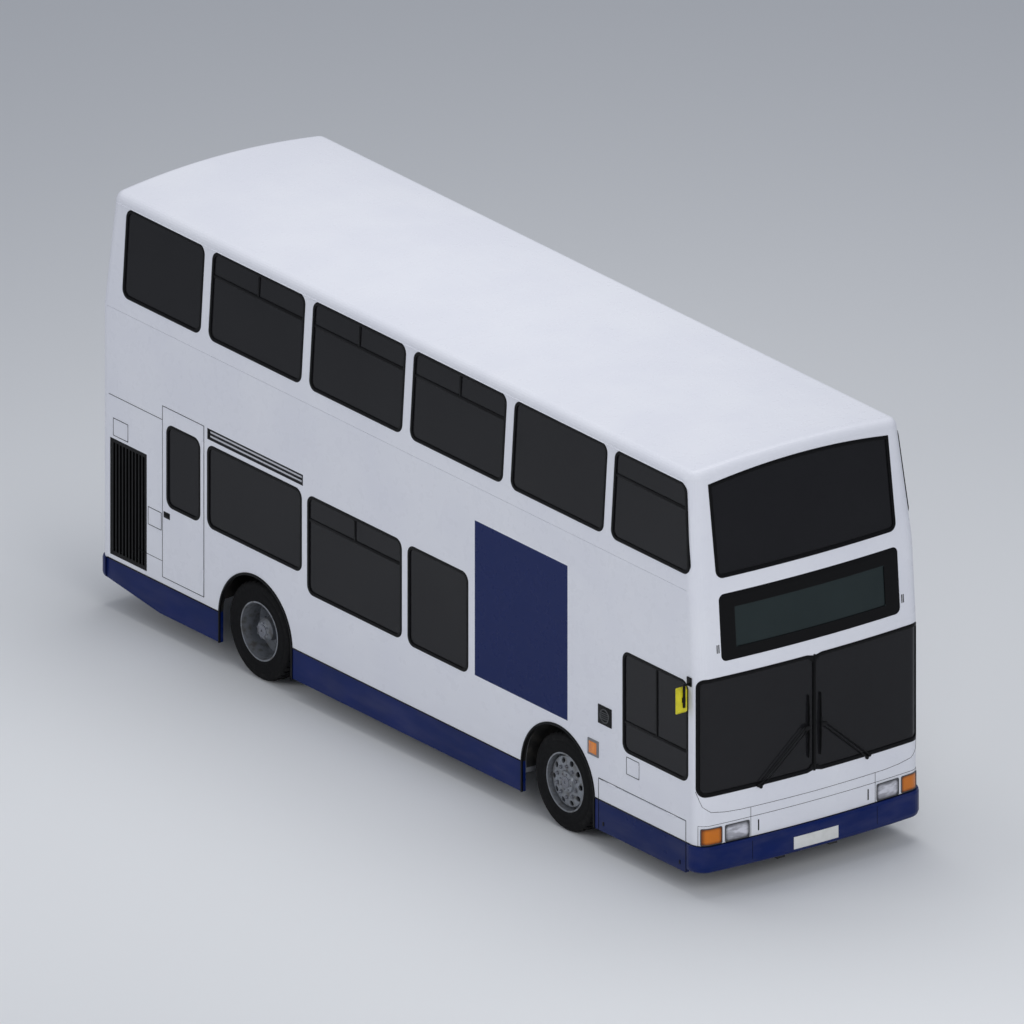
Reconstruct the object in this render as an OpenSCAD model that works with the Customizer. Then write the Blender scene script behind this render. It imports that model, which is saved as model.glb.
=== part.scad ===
// Double decker bus: a rear-engined, right-hand-drive two-deck city bus.
// +Z is up and the ground is Z = 0. The front faces -Y. +X is the nearside, where the entrance is,
// and -X is the offside, where the driver sits. The origin is on the ground, on the body's
// centre plane, midway between the bumpers' faces.

/* [Overall] */
// Length over both bumpers
overall_len = 9350; // [9200:10:11300]
// Width over the side panels
body_w = 2550; // [2500:10:2600]
// Height of the roof's crown
overall_h = 4190; // [4160:10:4400]
// Thickness of the walls, doors and roof
wall_t = 40; // [30:1:45]
// Clearance where one fixed piece seats on another
fit = 0.4; // [0.3:0.1:0.6]
// Clearance round every door, lid and flap
gap = 6; // [5:1:8]

/* [Body surface] */
// Height at which the sides start to lean in
waist_z = 3000; // [2980:5:3050]
// Lean of the upper sides, in degrees
side_lean = 3.6; // [2:0.1:4.5]
// Height at which the front starts to lean back
brow_z = 2200; // [2170:5:2250]
// Lean of the front between the two windscreens, in degrees
brow_lean = 4.4; // [2:0.1:6]
// Height at which the upper windscreen's lean starts
forehead_z = 2900; // [2850:5:2960]
// Lean of the upper front, in degrees
forehead_lean = 8.1; // [5:0.1:10]
// Lean of the upper rear, in degrees
rear_lean = 5; // [2:0.1:7]
// Bow of the front in plan
front_bow = 66; // [40:1:90]
// Radius of the front corners in plan
front_corner_r = 140; // [110:5:170]
// Bow of the rear in plan
rear_bow = 30; // [20:1:50]
// Radius of the rear corners in plan
rear_corner_r = 100; // [80:5:130]
// Height at which the roof moulding starts along the sides
roof_base_z = 4030; // [4025:5:4060]
// Rise of the roof's joint from the sides to the middle of the front
roof_arch = 65; // [40:5:80]
// Fall of the roof from its crown to its shoulders
crown_drop = 70; // [40:5:90]
// Width of the rounded shoulder of the roof
shoulder_w = 82; // [60:1:110]
// Length of the rounded front and rear edges of the roof
roof_nose = 80; // [60:5:110]

/* [Lower edge] */
// Height of the skirt's lower edge
skirt_z = 205; // [180:5:240]
// Height of the joint between the skirts and the lower sides
skirt_top_z = 505; // [480:5:520]
// Height of the skirt's lower edge at the rear end
skirt_rear_z = 309; // [260:5:340]
// How far the front bumper stands out of the front panel
bumper_out = 30; // [15:1:45]
// Height of the bumpers' lower edge
bumper_z = 245; // [220:5:280]
// Rear face of the body behind the rear bumper
rear_bumper_out = 21; // [15:1:40]

/* [Wheels] */
// Radius of the tyres
tyre_r = 479; // [460:1:490]
// Width of each tyre
tyre_w = 275; // [260:1:290]
// Radius of the rims
rim_r = 286; // [275:1:295]
// Set-back of the outer tyre faces from the side panels
tyre_inset = 40; // [35:1:60]
// Place of the front axle along the bus
front_axle_y = -2455; // [-2500:5:-2440]
// Place of the rear axle along the bus
rear_axle_y = 2247; // [2230:5:2260]
// Radius of the wheel arches' mouths
arch_r = 552; // [545:1:560]
// Space between the two tyres of a rear pair
twin_space = 45; // [40:1:60]
// Greatest steering angle, in degrees
steer_max = 35; // [20:1:35]
// Radius of the kingpins
kingpin_r = 22; // [18:1:24]
// Radius of the stub axles
stub_r = 45; // [40:1:50]
// Running clearance of shafts and pins in their bores
running = 0.05; // [0.02:0.01:0.1]

/* [Decks] */
// Top of the lower floor between the axles
floor_z = 430; // [420:1:440]
// Top of the lower floor behind the middle
rear_floor_z = 660; // [650:1:670]
// Top of the entrance platform
platform_z = 335; // [325:1:345]
// Top of the upper floor
upper_floor_z = 2330; // [2300:5:2340]
// Thickness of the floors
floor_t = 40; // [30:1:45]
// Where the lower floor steps up
floor_step_y = 1450; // [1420:5:1480]
// Front face of the engine bay's bulkhead
bulkhead_y = 3720; // [3710:5:3740]
// Width of the gangway
gangway_w = 560; // [450:10:600]

/* [Openings] */
// Radius of the side windows' corners
window_r = 85; // [40:5:100]
// Lower edge of the upper side windows
upper_sill_z = 3157; // [3140:1:3180]
// Upper edge of the upper side windows
upper_head_z = 4010; // [3980:1:4015]
// Height of the glass's outer face behind the panels' outer face
glass_inset = 8; // [4:1:12]
// Thickness of the glass
glass_t = 6; // [4:1:8]
// Half the width of the lower windscreen
screen_hw = 1258; // [1240:1:1262]
// Lower edge of the windscreen at the middle
screen_z0 = 1003; // [990:1:1030]
// Upper edge of the windscreen
screen_z1 = 2150; // [2120:5:2160]
// Half the width of the bar between the windscreen's panes
screen_bar_hw = 13; // [8:1:20]
// Half the width of the upper windscreen
top_screen_hw = 1028; // [980:1:1040]
// Lower edge of the upper windscreen
top_screen_z0 = 3105; // [3090:5:3120]
// Upper corners of the upper windscreen
top_screen_z1 = 3988; // [3960:1:3995]
// Rise of the upper windscreen's top edge at its middle
top_screen_rise = 85; // [50:5:90]
// Half the width of the destination box
dest_hw = 1028; // [980:1:1040]
// Lower edge of the destination box
dest_z0 = 2300; // [2290:5:2320]
// Upper edge of the destination box
dest_z1 = 2948; // [2930:1:2960]
// Rear jamb of the entrance
entrance_y1 = -3160; // [-3180:5:-3150]
// Front jamb of the entrance
entrance_y0 = -4373; // [-4380:1:-4350]
// Head of the entrance
entrance_top_z = 2240; // [2200:5:2260]
// Hinge edge of the emergency door
exit_y0 = 3045; // [3035:1:3060]
// Lock edge of the emergency door
exit_y1 = 3673; // [3650:1:3680]
// Foot of the emergency door
exit_z0 = 580; // [570:1:600]
// Head of the emergency door
exit_z1 = 2270; // [2240:1:2280]
// Front edge of the locker flap
locker_y0 = -4373; // [-4380:1:-4350]
// Rear edge of the locker flap
locker_y1 = -3035; // [-3050:1:-3030]
// Hinge edge of the locker flap
locker_top_z = 710; // [690:5:730]
// Half the width of the engine cover
engine_cover_hw = 880; // [800:10:920]
// Foot of the engine cover
engine_cover_z0 = 540; // [530:5:560]
// Head of the engine cover
engine_cover_z1 = 1560; // [1500:5:1600]

/* [Seats] */
// Width of a double seat
seat_w = 860; // [820:10:880]
// Depth of a seat cushion
seat_d = 400; // [380:10:420]
// Thickness of the seat cushions
cushion_t = 90; // [70:5:100]
// Height of a seat cushion's top above the floor
seat_h = 450; // [430:10:470]
// Height of a seat's back above its cushion
seat_back_h = 560; // [500:10:600]
// Distance from one seat row to the next
seat_pitch = 770; // [740:5:790]

/* [Hidden] */
$fn = 48;
eps = 1;

side_x = body_w / 2;
inner_x = side_x - wall_t;
front_y = -(overall_len / 2 - bumper_out);
rear_y = overall_len / 2 - rear_bumper_out;
tyre_out_x = side_x - tyre_inset;
tyre_in_x = tyre_out_x - tyre_w;
twin_in_x = tyre_in_x - twin_space - tyre_w;
kingpin_x = tyre_in_x - 45;
hub_z = tyre_r;
white = [0.86, 0.88, 0.93];
blue = [0.02, 0.10, 0.30];
glass = [0.12, 0.12, 0.13];
black = [0.05, 0.05, 0.05];
steel = [0.45, 0.47, 0.50];
rubber = [0.08, 0.08, 0.08];

// ---- Body surface ----
// An end of the body is seen from outside as if it were the front: [face, bow radius, corner radius, rear?]
function bow_radius(bow) = (side_x * side_x + bow * bow) / (2 * bow);
FRONT = [front_y, bow_radius(front_bow), front_corner_r, false];
REAR = [-rear_y, bow_radius(rear_bow), rear_corner_r, true];
function half_w(z) = side_x - max(0, z - waist_z) * tan(side_lean);
function front_in(z) = max(0, min(z, forehead_z) - brow_z) * tan(brow_lean)
                     + max(0, z - forehead_z) * tan(forehead_lean);
function rear_in(z) = max(0, z - waist_z) * tan(rear_lean);
function end_in(e, z) = e[3] ? rear_in(z) : front_in(z);
// Half of the angle that the bow fills at a height
function bow_angle(e, z) = asin((half_w(z) - e[2]) / (e[1] - e[2]));
// Where an end's corner meets the flat side
function corner_y(e, z) = e[0] + end_in(e, z) + e[1] - (e[1] - e[2]) * cos(bow_angle(e, z));
// Y of an end's outer surface at a place across the bus and a height
function end_y(e, x, z) =
  let (xt = e[1] * sin(bow_angle(e, z)), cx = half_w(z) - e[2])
  abs(x) <= xt ? e[0] + end_in(e, z) + e[1] - sqrt(e[1] * e[1] - x * x)
               : corner_y(e, z) - sqrt(max(0, e[2] * e[2] - pow(abs(x) - cx, 2)));

corner_steps = 8;
bow_steps = 12;
// The outline of an end at a height, set in from the surface by d, from offside to nearside.
// A tail carries it along the flat sides to tail_y, where it lies no further out than they do.
function end_ring(e, z, d, tail_y) =
  let (a = bow_angle(e, z), w = half_w(z), cy = corner_y(e, z), by = e[0] + end_in(e, z) + e[1])
  concat(
    is_undef(tail_y) ? [] : [[-(w - max(d, 0)), tail_y, z]],
    [for (i = [0:corner_steps]) let (b = 90 - (90 - a) * i / corner_steps)
      [-(w - e[2]) - (e[2] - d) * sin(b), cy - (e[2] - d) * cos(b), z]],
    [for (i = [1:bow_steps - 1]) let (b = -a + 2 * a * i / bow_steps)
      [(e[1] - d) * sin(b), by - (e[1] - d) * cos(b), z]],
    [for (i = [0:corner_steps]) let (b = a + (90 - a) * i / corner_steps)
      [(w - e[2]) + (e[2] - d) * sin(b), cy - (e[2] - d) * cos(b), z]],
    is_undef(tail_y) ? [] : [[w - max(d, 0), tail_y, z]]);

// A curved wall at an end, between set-backs d0 and d1. Each level is [height, extra set-back].
module end_wall(e, levels, d0, d1, tail_y = undef) {
  rings = [for (l = levels) each [end_ring(e, l[0], d0 + l[1], tail_y), end_ring(e, l[0], d1, tail_y)]];
  n = len(rings[0]);
  k = len(levels);
  function at(level, inner, i) = (2 * level + inner) * n + i;
  faces = concat(
    [for (j = [0:k - 2]) for (i = [0:n - 2])
      [at(j, 0, i), at(j + 1, 0, i), at(j + 1, 0, i + 1), at(j, 0, i + 1)]],
    [for (j = [0:k - 2]) for (i = [0:n - 2])
      [at(j, 1, i), at(j, 1, i + 1), at(j + 1, 1, i + 1), at(j + 1, 1, i)]],
    [for (i = [0:n - 2]) [at(0, 0, i), at(0, 0, i + 1), at(0, 1, i + 1), at(0, 1, i)]],
    [for (i = [0:n - 2]) [at(k - 1, 0, i), at(k - 1, 1, i), at(k - 1, 1, i + 1), at(k - 1, 0, i + 1)]],
    [for (j = [0:k - 2]) [at(j, 0, 0), at(j, 1, 0), at(j + 1, 1, 0), at(j + 1, 0, 0)]],
    [for (j = [0:k - 2])
      [at(j, 0, n - 1), at(j + 1, 0, n - 1), at(j + 1, 1, n - 1), at(j, 1, n - 1)]]);
  mirror([0, e[3] ? 1 : 0, 0]) polyhedron([for (r = rings) each r], faces, convexity = 8);
}

// Extrudes a (Y, Z) outline along X, or an (X, Z) outline along Y
module along_x(x0, x1) translate([x0, 0, 0]) rotate([90, 0, 90]) linear_extrude(x1 - x0) children();
module along_y(y0, y1) translate([0, y1, 0]) rotate([90, 0, 0]) linear_extrude(y1 - y0) children();
module box(x0, x1, y0, y1, z0, z1) translate([x0, y0, z0]) cube([x1 - x0, y1 - y0, z1 - z0]);
// A cylinder along X between two places
module rod_x(x0, x1, y, z, r) translate([x0, y, z]) rotate([0, 90, 0]) cylinder(h = x1 - x0, r = r);
module rod_y(x, y0, y1, z, r) translate([x, y1, z]) rotate([90, 0, 0]) cylinder(h = y1 - y0, r = r);
module rod_z(x, y, z0, z1, r) translate([x, y, z0]) cylinder(h = z1 - z0, r = r);
module both_sides() {
  children();
  mirror([1, 0, 0]) children();
}

// A rectangle with round corners between two corners
module rounded(a0, b0, a1, b1, r) {
  translate([a0 + r, b0]) square([a1 - a0 - 2 * r, b1 - b0]);
  translate([a0, b0 + r]) square([a1 - a0, b1 - b0 - 2 * r]);
  for (a = [a0 + r, a1 - r], b = [b0 + r, b1 - r]) translate([a, b]) circle(r, $fn = 32);
}

// ---- Side windows: [front edge, rear edge, sill, head] ----
upper_pitch = 1549;
upper_win_w = 1415;
upper_windows = concat(
  [for (i = [0:3]) let (y = -3085 + upper_pitch * i) [y, y + upper_win_w, upper_sill_z, upper_head_z]],
  [[3110, 4300, upper_sill_z, upper_head_z]]);
// The foremost upper window leans with the front
front_win_y1 = -3213;
front_win_y0 = -4412;
offside_windows = [[1538, 2980, 1300, 2110], [0, 1440, 1130, 2100], [-1022, -104, 1115, 2095]];
nearside_windows = [[3110, 3640, 1300, 2110], [1538, 2980, 1300, 2110], [0, 1440, 1130, 2100],
                    [-1549, -109, 1130, 2100], [-3030, -1657, 1130, 2100]];
cab_window = [-4405, -3410, 1110, 2097];

// Height along the leaning upper side for a height above the ground
function up(z) = (z - waist_z) / cos(side_lean);
module front_upper_window(inset) {
  lean_in = front_in(upper_head_z) - front_in(upper_sill_z);
  a = front_win_y0 + inset;
  b = front_win_y1 - inset;
  s0 = up(upper_sill_z) + inset;
  s1 = up(upper_head_z) - inset;
  r = window_r - inset;
  hull() {
    translate([a + r, s0 + r]) circle(r, $fn = 32);
    translate([b - r, s0 + r]) circle(r, $fn = 32);
    translate([b - r, s1 - r]) circle(r, $fn = 32);
    translate([a + lean_in + r, s1 - r]) circle(r, $fn = 32);
  }
}
module upper_window_cuts(inset) {
  for (w = upper_windows)
    rounded(w[0] + inset, up(w[2]) + inset, w[1] - inset, up(w[3]) - inset, window_r - inset);
  front_upper_window(inset);
}
module window_cuts(windows, inset)
  for (w = windows) rounded(w[0] + inset, w[2] + inset, w[1] - inset, w[3] - inset, window_r - inset);

// The mouths of the wheel arches, open at the bottom
module arch_mouths(r)
  for (y = [front_axle_y + 46, rear_axle_y - 5]) {
    translate([y, hub_z]) circle(r, $fn = 96);
    translate([y - r, 0]) square([2 * r, hub_z]);
  }

// ---- Lids and doors let into the sides ----
exit_window = [3100, 3606, 1303, 2110];
coolant_lid = [4213, 4429, 1743, 1910];
battery_lid = [3699, 3893, 1034, 1202];
filler_lid = [-3648, -3464, 895, 1060];
lid_t = 12;
grille_hole = [3916, 4483, 552, 1710];
louvre_hole = [1515, 2988, 2162, 2272];
module plate_outline(w, grow) translate([w[0] - grow, w[2] - grow]) square([w[1] - w[0] + 2 * grow, w[3] - w[2] + 2 * grow]);

// The upright edge at which the flat side meets an end's corner, from z0 to z1, as (Y, Z) points
function front_edge(z0, z1) = [for (z = concat([z0], [for (q = [brow_z, forehead_z, waist_z]) if (q > z0 && q < z1) q], [z1]))
                               [corner_y(FRONT, z) + fit, z]];
function rear_edge(z0, z1) = [for (z = concat([z0], [for (q = [waist_z]) if (q > z0 && q < z1) q], [z1]))
                              [-corner_y(REAR, z) - fit, z]];
function reversed(v) = [for (i = [len(v) - 1:-1:0]) v[i]];
lower_side_top_z = waist_z - wall_t * sin(side_lean) - fit;
module lower_side_outline()
  polygon(concat(front_edge(skirt_top_z + fit, lower_side_top_z),
                 reversed(rear_edge(skirt_top_z + fit, lower_side_top_z))));

module lower_side_offside() {
  difference() {
    along_x(-side_x, -inner_x) difference() {
      lower_side_outline();
      arch_mouths(arch_r);
      window_cuts(offside_windows, 0);
      window_cuts([cab_window], 0);
      translate([exit_y0 - gap, exit_z0 - gap]) square([exit_y1 - exit_y0 + 2 * gap, exit_z1 - exit_z0 + 2 * gap]);
      translate([locker_y0 - gap, 0]) square([locker_y1 - locker_y0 + 2 * gap, locker_top_z + gap]);
      plate_outline(grille_hole, 0);
    }
    along_x(-side_x - eps, -side_x + lid_t + gap)
      for (w = [coolant_lid, battery_lid, filler_lid]) plate_outline(w, gap);
    along_x(-side_x - eps, -side_x + 20) plate_outline(louvre_hole, 0);
  }
}
module lower_side_nearside() {
  along_x(inner_x, side_x) difference() {
    lower_side_outline();
    arch_mouths(arch_r);
    window_cuts(nearside_windows, 0);
    translate([entrance_y0, 0]) square([entrance_y1 - entrance_y0, entrance_top_z + gap]);
    plate_outline(grille_hole, 0);
  }
}
module lower_sides() color(white) {
  lower_side_offside();
  lower_side_nearside();
}

// The leaning upper side, in its own plane
module upper_side_outline() {
  s1 = roof_base_z - fit;
  polygon([[corner_y(FRONT, waist_z) + fit, 0], [corner_y(FRONT, s1) + fit, up(s1)],
           [-corner_y(REAR, s1) - fit, up(s1)], [-corner_y(REAR, waist_z) - fit, 0]]);
}
module leaning(x0, x1)
  translate([side_x, 0, waist_z]) rotate([0, -side_lean, 0]) along_x(x0, x1) children();
module upper_sides() color(white)
  both_sides() leaning(-wall_t, 0) difference() {
    upper_side_outline();
    upper_window_cuts(0);
  }

// ---- Glass in the sides and rear ----
rear_win_hw = 880;
rear_win_z0 = 3160;
rear_win_z1 = 3960;
module rear_window_outline(inset)
  rounded(-rear_win_hw + inset, rear_win_z0 + inset, rear_win_hw - inset, rear_win_z1 - inset, window_r - inset);
module side_glass() color(glass) {
  both_sides() leaning(-glass_inset - glass_t, -glass_inset) upper_window_cuts(fit);
  along_x(-side_x + glass_inset, -side_x + glass_inset + glass_t) window_cuts(concat(offside_windows, [cab_window]), fit);
  along_x(side_x - glass_inset - glass_t, side_x - glass_inset) window_cuts(nearside_windows, fit);
  intersection() {
    end_wall(REAR, [[rear_win_z0 - 10, 0], [rear_win_z1 + 10, 0]], glass_inset, glass_inset + glass_t);
    along_y(0, overall_len) rear_window_outline(fit);
  }
}

// ---- Skirts ----
bumper_tail_y = locker_y0 - gap;
rear_bumper_tail_y = 4540;
module skirt_outline(y0) difference() {
  polygon([[y0, skirt_z], [y0, skirt_top_z - fit], [rear_bumper_tail_y - fit, skirt_top_z - fit],
           [rear_bumper_tail_y - fit, skirt_rear_z], [bulkhead_y, skirt_z]]);
  arch_mouths(arch_r);
}
module skirts() color(blue) {
  along_x(-side_x, -inner_x) skirt_outline(locker_y1 + gap);
  // The nearside skirt passes under the entrance
  along_x(inner_x, side_x) difference() {
    skirt_outline(bumper_tail_y + fit);
    translate([-overall_len, leaf_z0 - gap]) square([overall_len + entrance_y1, skirt_top_z]);
  }
}

// ---- Roof ----
roof_hw = half_w(roof_base_z);
roof_mid_steps = 16;
roof_nose_steps = 6;
// Places across the roof, closer together over the rounded corners
roof_x = concat(
  [for (i = [0:corner_steps]) -roof_hw + front_corner_r * (1 - cos(90 * i / corner_steps))],
  [for (i = [1:roof_mid_steps - 1]) (roof_hw - front_corner_r) * (2 * i / roof_mid_steps - 1)],
  [for (i = [0:corner_steps]) roof_hw - front_corner_r * (1 - sin(90 * i / corner_steps))]);
function roof_base(x) = roof_base_z + roof_arch * (1 - pow(x / roof_hw, 2));
function crown_z(x) = overall_h - crown_drop * pow(x / (roof_hw - shoulder_w), 2);
// Height of the rounded shoulder as a share of the crown's, across and along the roof
function shoulder(x) = let (q = max(0, abs(x) - roof_hw + shoulder_w) / shoulder_w) sqrt(max(0, 1 - q * q));
roof_rows = concat(
  [for (i = [0:roof_nose_steps]) let (p = 90 * i / roof_nose_steps) [0, roof_nose * (1 - cos(p)), sin(p)]],
  [for (i = [roof_nose_steps:-1:0]) let (p = 90 * i / roof_nose_steps) [1, -roof_nose * (1 - cos(p)), sin(p)]]);
// One point of the roof's outer skin, or of its inner one when t is the thickness
function roof_point(x, row, t) =
  let (xt = x * (1 - t / roof_hw), z0 = roof_base(xt),
       y = row[0] == 0 ? end_y(FRONT, x, z0) + t : -end_y(REAR, x, z0) - t)
  [xt, y + row[1], z0 + (crown_z(x) - t - z0) * shoulder(x) * row[2]];
// What lies under the arched joint between the roof and the ends, down to z
module under_roof_joint(z) polygon(concat(
  [[-side_x - eps, z], [side_x + eps, z], [side_x + eps, roof_base_z - fit]],
  [for (x = reversed(roof_x)) [x, roof_base(x) - fit]],
  [[-side_x - eps, roof_base_z - fit]]));
module roof() color(white) roof_shell();
module roof_shell() {
  nx = len(roof_x);
  ny = len(roof_rows);
  points = [for (t = [0, wall_t]) each [for (x = roof_x) each [for (r = roof_rows) roof_point(x, r, t)]]];
  function at(inner, i, j) = inner * nx * ny + i * ny + j;
  faces = concat(
    [for (i = [0:nx - 2]) for (j = [0:ny - 2]) [at(0, i, j), at(0, i, j + 1), at(0, i + 1, j + 1), at(0, i + 1, j)]],
    [for (i = [0:nx - 2]) for (j = [0:ny - 2]) [at(1, i, j), at(1, i + 1, j), at(1, i + 1, j + 1), at(1, i, j + 1)]],
    [for (i = [0:nx - 2]) [at(0, i, 0), at(0, i + 1, 0), at(1, i + 1, 0), at(1, i, 0)]],
    [for (i = [0:nx - 2]) [at(0, i, ny - 1), at(1, i, ny - 1), at(1, i + 1, ny - 1), at(0, i + 1, ny - 1)]],
    [for (j = [0:ny - 2]) [at(0, 0, j), at(1, 0, j), at(1, 0, j + 1), at(0, 0, j + 1)]],
    [for (j = [0:ny - 2]) [at(0, nx - 1, j), at(0, nx - 1, j + 1), at(1, nx - 1, j + 1), at(1, nx - 1, j)]]);
  polyhedron(points, faces, convexity = 8);
}

// ---- Front ----
front_split_z = (screen_z1 + dest_z0) / 2;
lamp_z0 = 516;
lamp_z1 = 680;
indicator_x = [1030, 1236];
headlamp_x = [732, 996];
module screen_outline(inset) {
  a = screen_bar_hw + inset;
  rounded(a, screen_z0 + inset, screen_hw - inset, screen_z1 - inset, window_r - inset);
  rounded(-screen_hw + inset, screen_z0 + inset, -a, screen_z1 - inset, window_r - inset);
}
module top_screen_outline(inset) {
  hw = top_screen_hw - inset;
  r = (hw * hw + top_screen_rise * top_screen_rise) / (2 * top_screen_rise);
  z1 = top_screen_z1 - inset;
  intersection() {
    rounded(-hw, top_screen_z0 + inset, hw, z1 + 2 * top_screen_rise, window_r - inset);
    translate([0, z1 + top_screen_rise - r]) circle(r, $fn = 360);
  }
}
module lamp_outlines(inset)
  for (s = [0, 1]) mirror([s, 0])
    for (l = [indicator_x, headlamp_x])
      rounded(l[0] + inset, lamp_z0 + inset, l[1] - inset, lamp_z1 - inset, 16);
module ahead_of_saloon() along_y(-overall_len, -overall_len / 4) children();

module front_lower_panel() color(white) difference() {
  end_wall(FRONT, [[skirt_top_z + fit, 0], [brow_z, 0], [front_split_z, 0]], 0, wall_t);
  ahead_of_saloon() screen_outline(0);
  ahead_of_saloon() lamp_outlines(0);
}
module front_upper_panel() color(white) intersection() {
  difference() {
    end_wall(FRONT, [[front_split_z + fit, 0], [forehead_z, 0], [waist_z, 0], [roof_base_z + roof_arch, 0]], 0, wall_t);
    ahead_of_saloon() rounded(-dest_hw, dest_z0, dest_hw, dest_z1, 60);
    ahead_of_saloon() top_screen_outline(0);
    both_sides() leaning(-wall_t - eps, eps) front_upper_window(0);
  }
  ahead_of_saloon() under_roof_joint(front_split_z);
}
module windscreens() color(glass) {
  intersection() {
    end_wall(FRONT, [[screen_z0 - 10, 0], [screen_z1 + 10, 0]], glass_inset, glass_inset + glass_t);
    ahead_of_saloon() screen_outline(fit);
  }
  intersection() {
    end_wall(FRONT, [[top_screen_z0 - 10, 0], [roof_base_z + roof_arch, 0]], glass_inset, glass_inset + glass_t);
    ahead_of_saloon() top_screen_outline(fit);
  }
}
dest_frame_t = 22;
dest_glass_hw = 858;
dest_glass_z0 = 2414;
dest_glass_z1 = 2803;
// The destination box: a black frame, its glass set in, and the blank blind's case behind it on the upper floor
module destination_box() color(black) {
  intersection() {
    difference() {
      end_wall(FRONT, [[dest_z0 - 10, 0], [forehead_z, 0], [dest_z1 + 10, 0]], 4, 4 + dest_frame_t);
      ahead_of_saloon() rounded(-dest_glass_hw, dest_glass_z0, dest_glass_hw, dest_glass_z1, 20);
    }
    ahead_of_saloon() rounded(-dest_hw + fit, dest_z0 + fit, dest_hw - fit, dest_z1 - fit, 60);
  }
  intersection() {
    end_wall(FRONT, [[dest_glass_z0 - 10, 0], [dest_glass_z1 + 10, 0]], 14, 14 + glass_t);
    ahead_of_saloon() rounded(-dest_glass_hw + fit, dest_glass_z0 + fit, dest_glass_hw - fit, dest_glass_z1 - fit, 20);
  }
  box(-dest_glass_hw - 40, dest_glass_hw + 40, end_y(FRONT, dest_glass_hw + 40, dest_z1) + 60, front_y + 330,
      upper_floor_z + fit, dest_glass_z1 + 30);
}
module lamps() {
  color("orange") intersection() {
    end_wall(FRONT, [[lamp_z0 - 10, 0], [lamp_z1 + 10, 0]], -3, 30);
    ahead_of_saloon() lamp_outlines(fit);
  }
  color("red") both_sides() intersection() {
    end_wall(REAR, [[rear_lamp_z0 - 10, 0], [rear_lamp_z1 + 10, 0]], -3, 30);
    along_y(0, overall_len) rounded(rear_lamp_x[0] + fit, rear_lamp_z0 + fit, rear_lamp_x[1] - fit, rear_lamp_z1 - fit, 16);
  }
}
rear_lamp_x = [1010, 1140];
rear_lamp_z0 = 620;
rear_lamp_z1 = 1180;

// ---- Rear ----
module rear_panel() color(white) difference() {
  intersection() {
    end_wall(REAR, [[skirt_top_z + fit, 0], [waist_z, 0], [roof_base_z + roof_arch, 0]], 0, wall_t);
    along_y(0, overall_len) under_roof_joint(skirt_top_z);
  }
  along_y(0, overall_len) {
    rear_window_outline(0);
    translate([-engine_cover_hw - gap, engine_cover_z0 - gap])
      square([2 * (engine_cover_hw + gap), engine_cover_z1 - engine_cover_z0 + 2 * gap]);
    for (s = [0, 1]) mirror([s, 0]) rounded(rear_lamp_x[0], rear_lamp_z0, rear_lamp_x[1], rear_lamp_z1, 16);
  }
}
module bumpers() color(blue) {
  end_wall(FRONT, [[bumper_z, -4], [bumper_z + 12, -18], [bumper_z + 45, -bumper_out],
                   [skirt_top_z - 28, -bumper_out], [skirt_top_z - fit, -bumper_out + 8]], 0, wall_t, bumper_tail_y);
  end_wall(REAR, [[skirt_rear_z, -4], [skirt_rear_z + 12, -14], [skirt_rear_z + 40, -rear_bumper_out],
                  [skirt_top_z - 20, -rear_bumper_out], [skirt_top_z - fit, -rear_bumper_out + 6]], 0, wall_t,
           -rear_bumper_tail_y);
}

// ---- Chassis ----
rail_x0 = 390;
rail_x1 = 470;
front_rail_z0 = 290;
rear_rail_z0 = 520;
front_rail_top = floor_z - floor_t - fit;
rear_rail_top = rear_floor_z - floor_t - fit;
rail_rear_end = 4480;
chassis_front_y = front_y + 230;
jaw_bore_r = 20;
jaw_x = 300;
front_jaw_z = 215;
rear_jaw_z = 275;
jaw_t = 30;
// A tow jaw under the bumper: two plates with one upright pin bore, bolted under a cross-member at z1
module tow_jaw(y, dir, z, z1) difference() {
  union() {
    for (q = [-45, 25])
      box(jaw_x - 45, jaw_x + 45, min(y, y + dir * 120), max(y, y + dir * 120), z + q, z + q + 20);
    box(jaw_x - 45, jaw_x + 45, min(y, y - dir * jaw_t), max(y, y - dir * jaw_t), z - 45, z1 - fit);
  }
  rod_z(jaw_x, y + dir * 75, z - 80, z + 80, jaw_bore_r);
}
module tow_jaws() color([0.12, 0.12, 0.13]) both_sides() {
  tow_jaw(chassis_front_y, -1, front_jaw_z, front_rail_z0 + 10);
  tow_jaw(rail_rear_end, 1, rear_jaw_z, end_member_z0);
}
end_member_z0 = 540;
step_post_y0 = floor_step_y + 50;
step_post_y1 = floor_step_y + 110;
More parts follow.
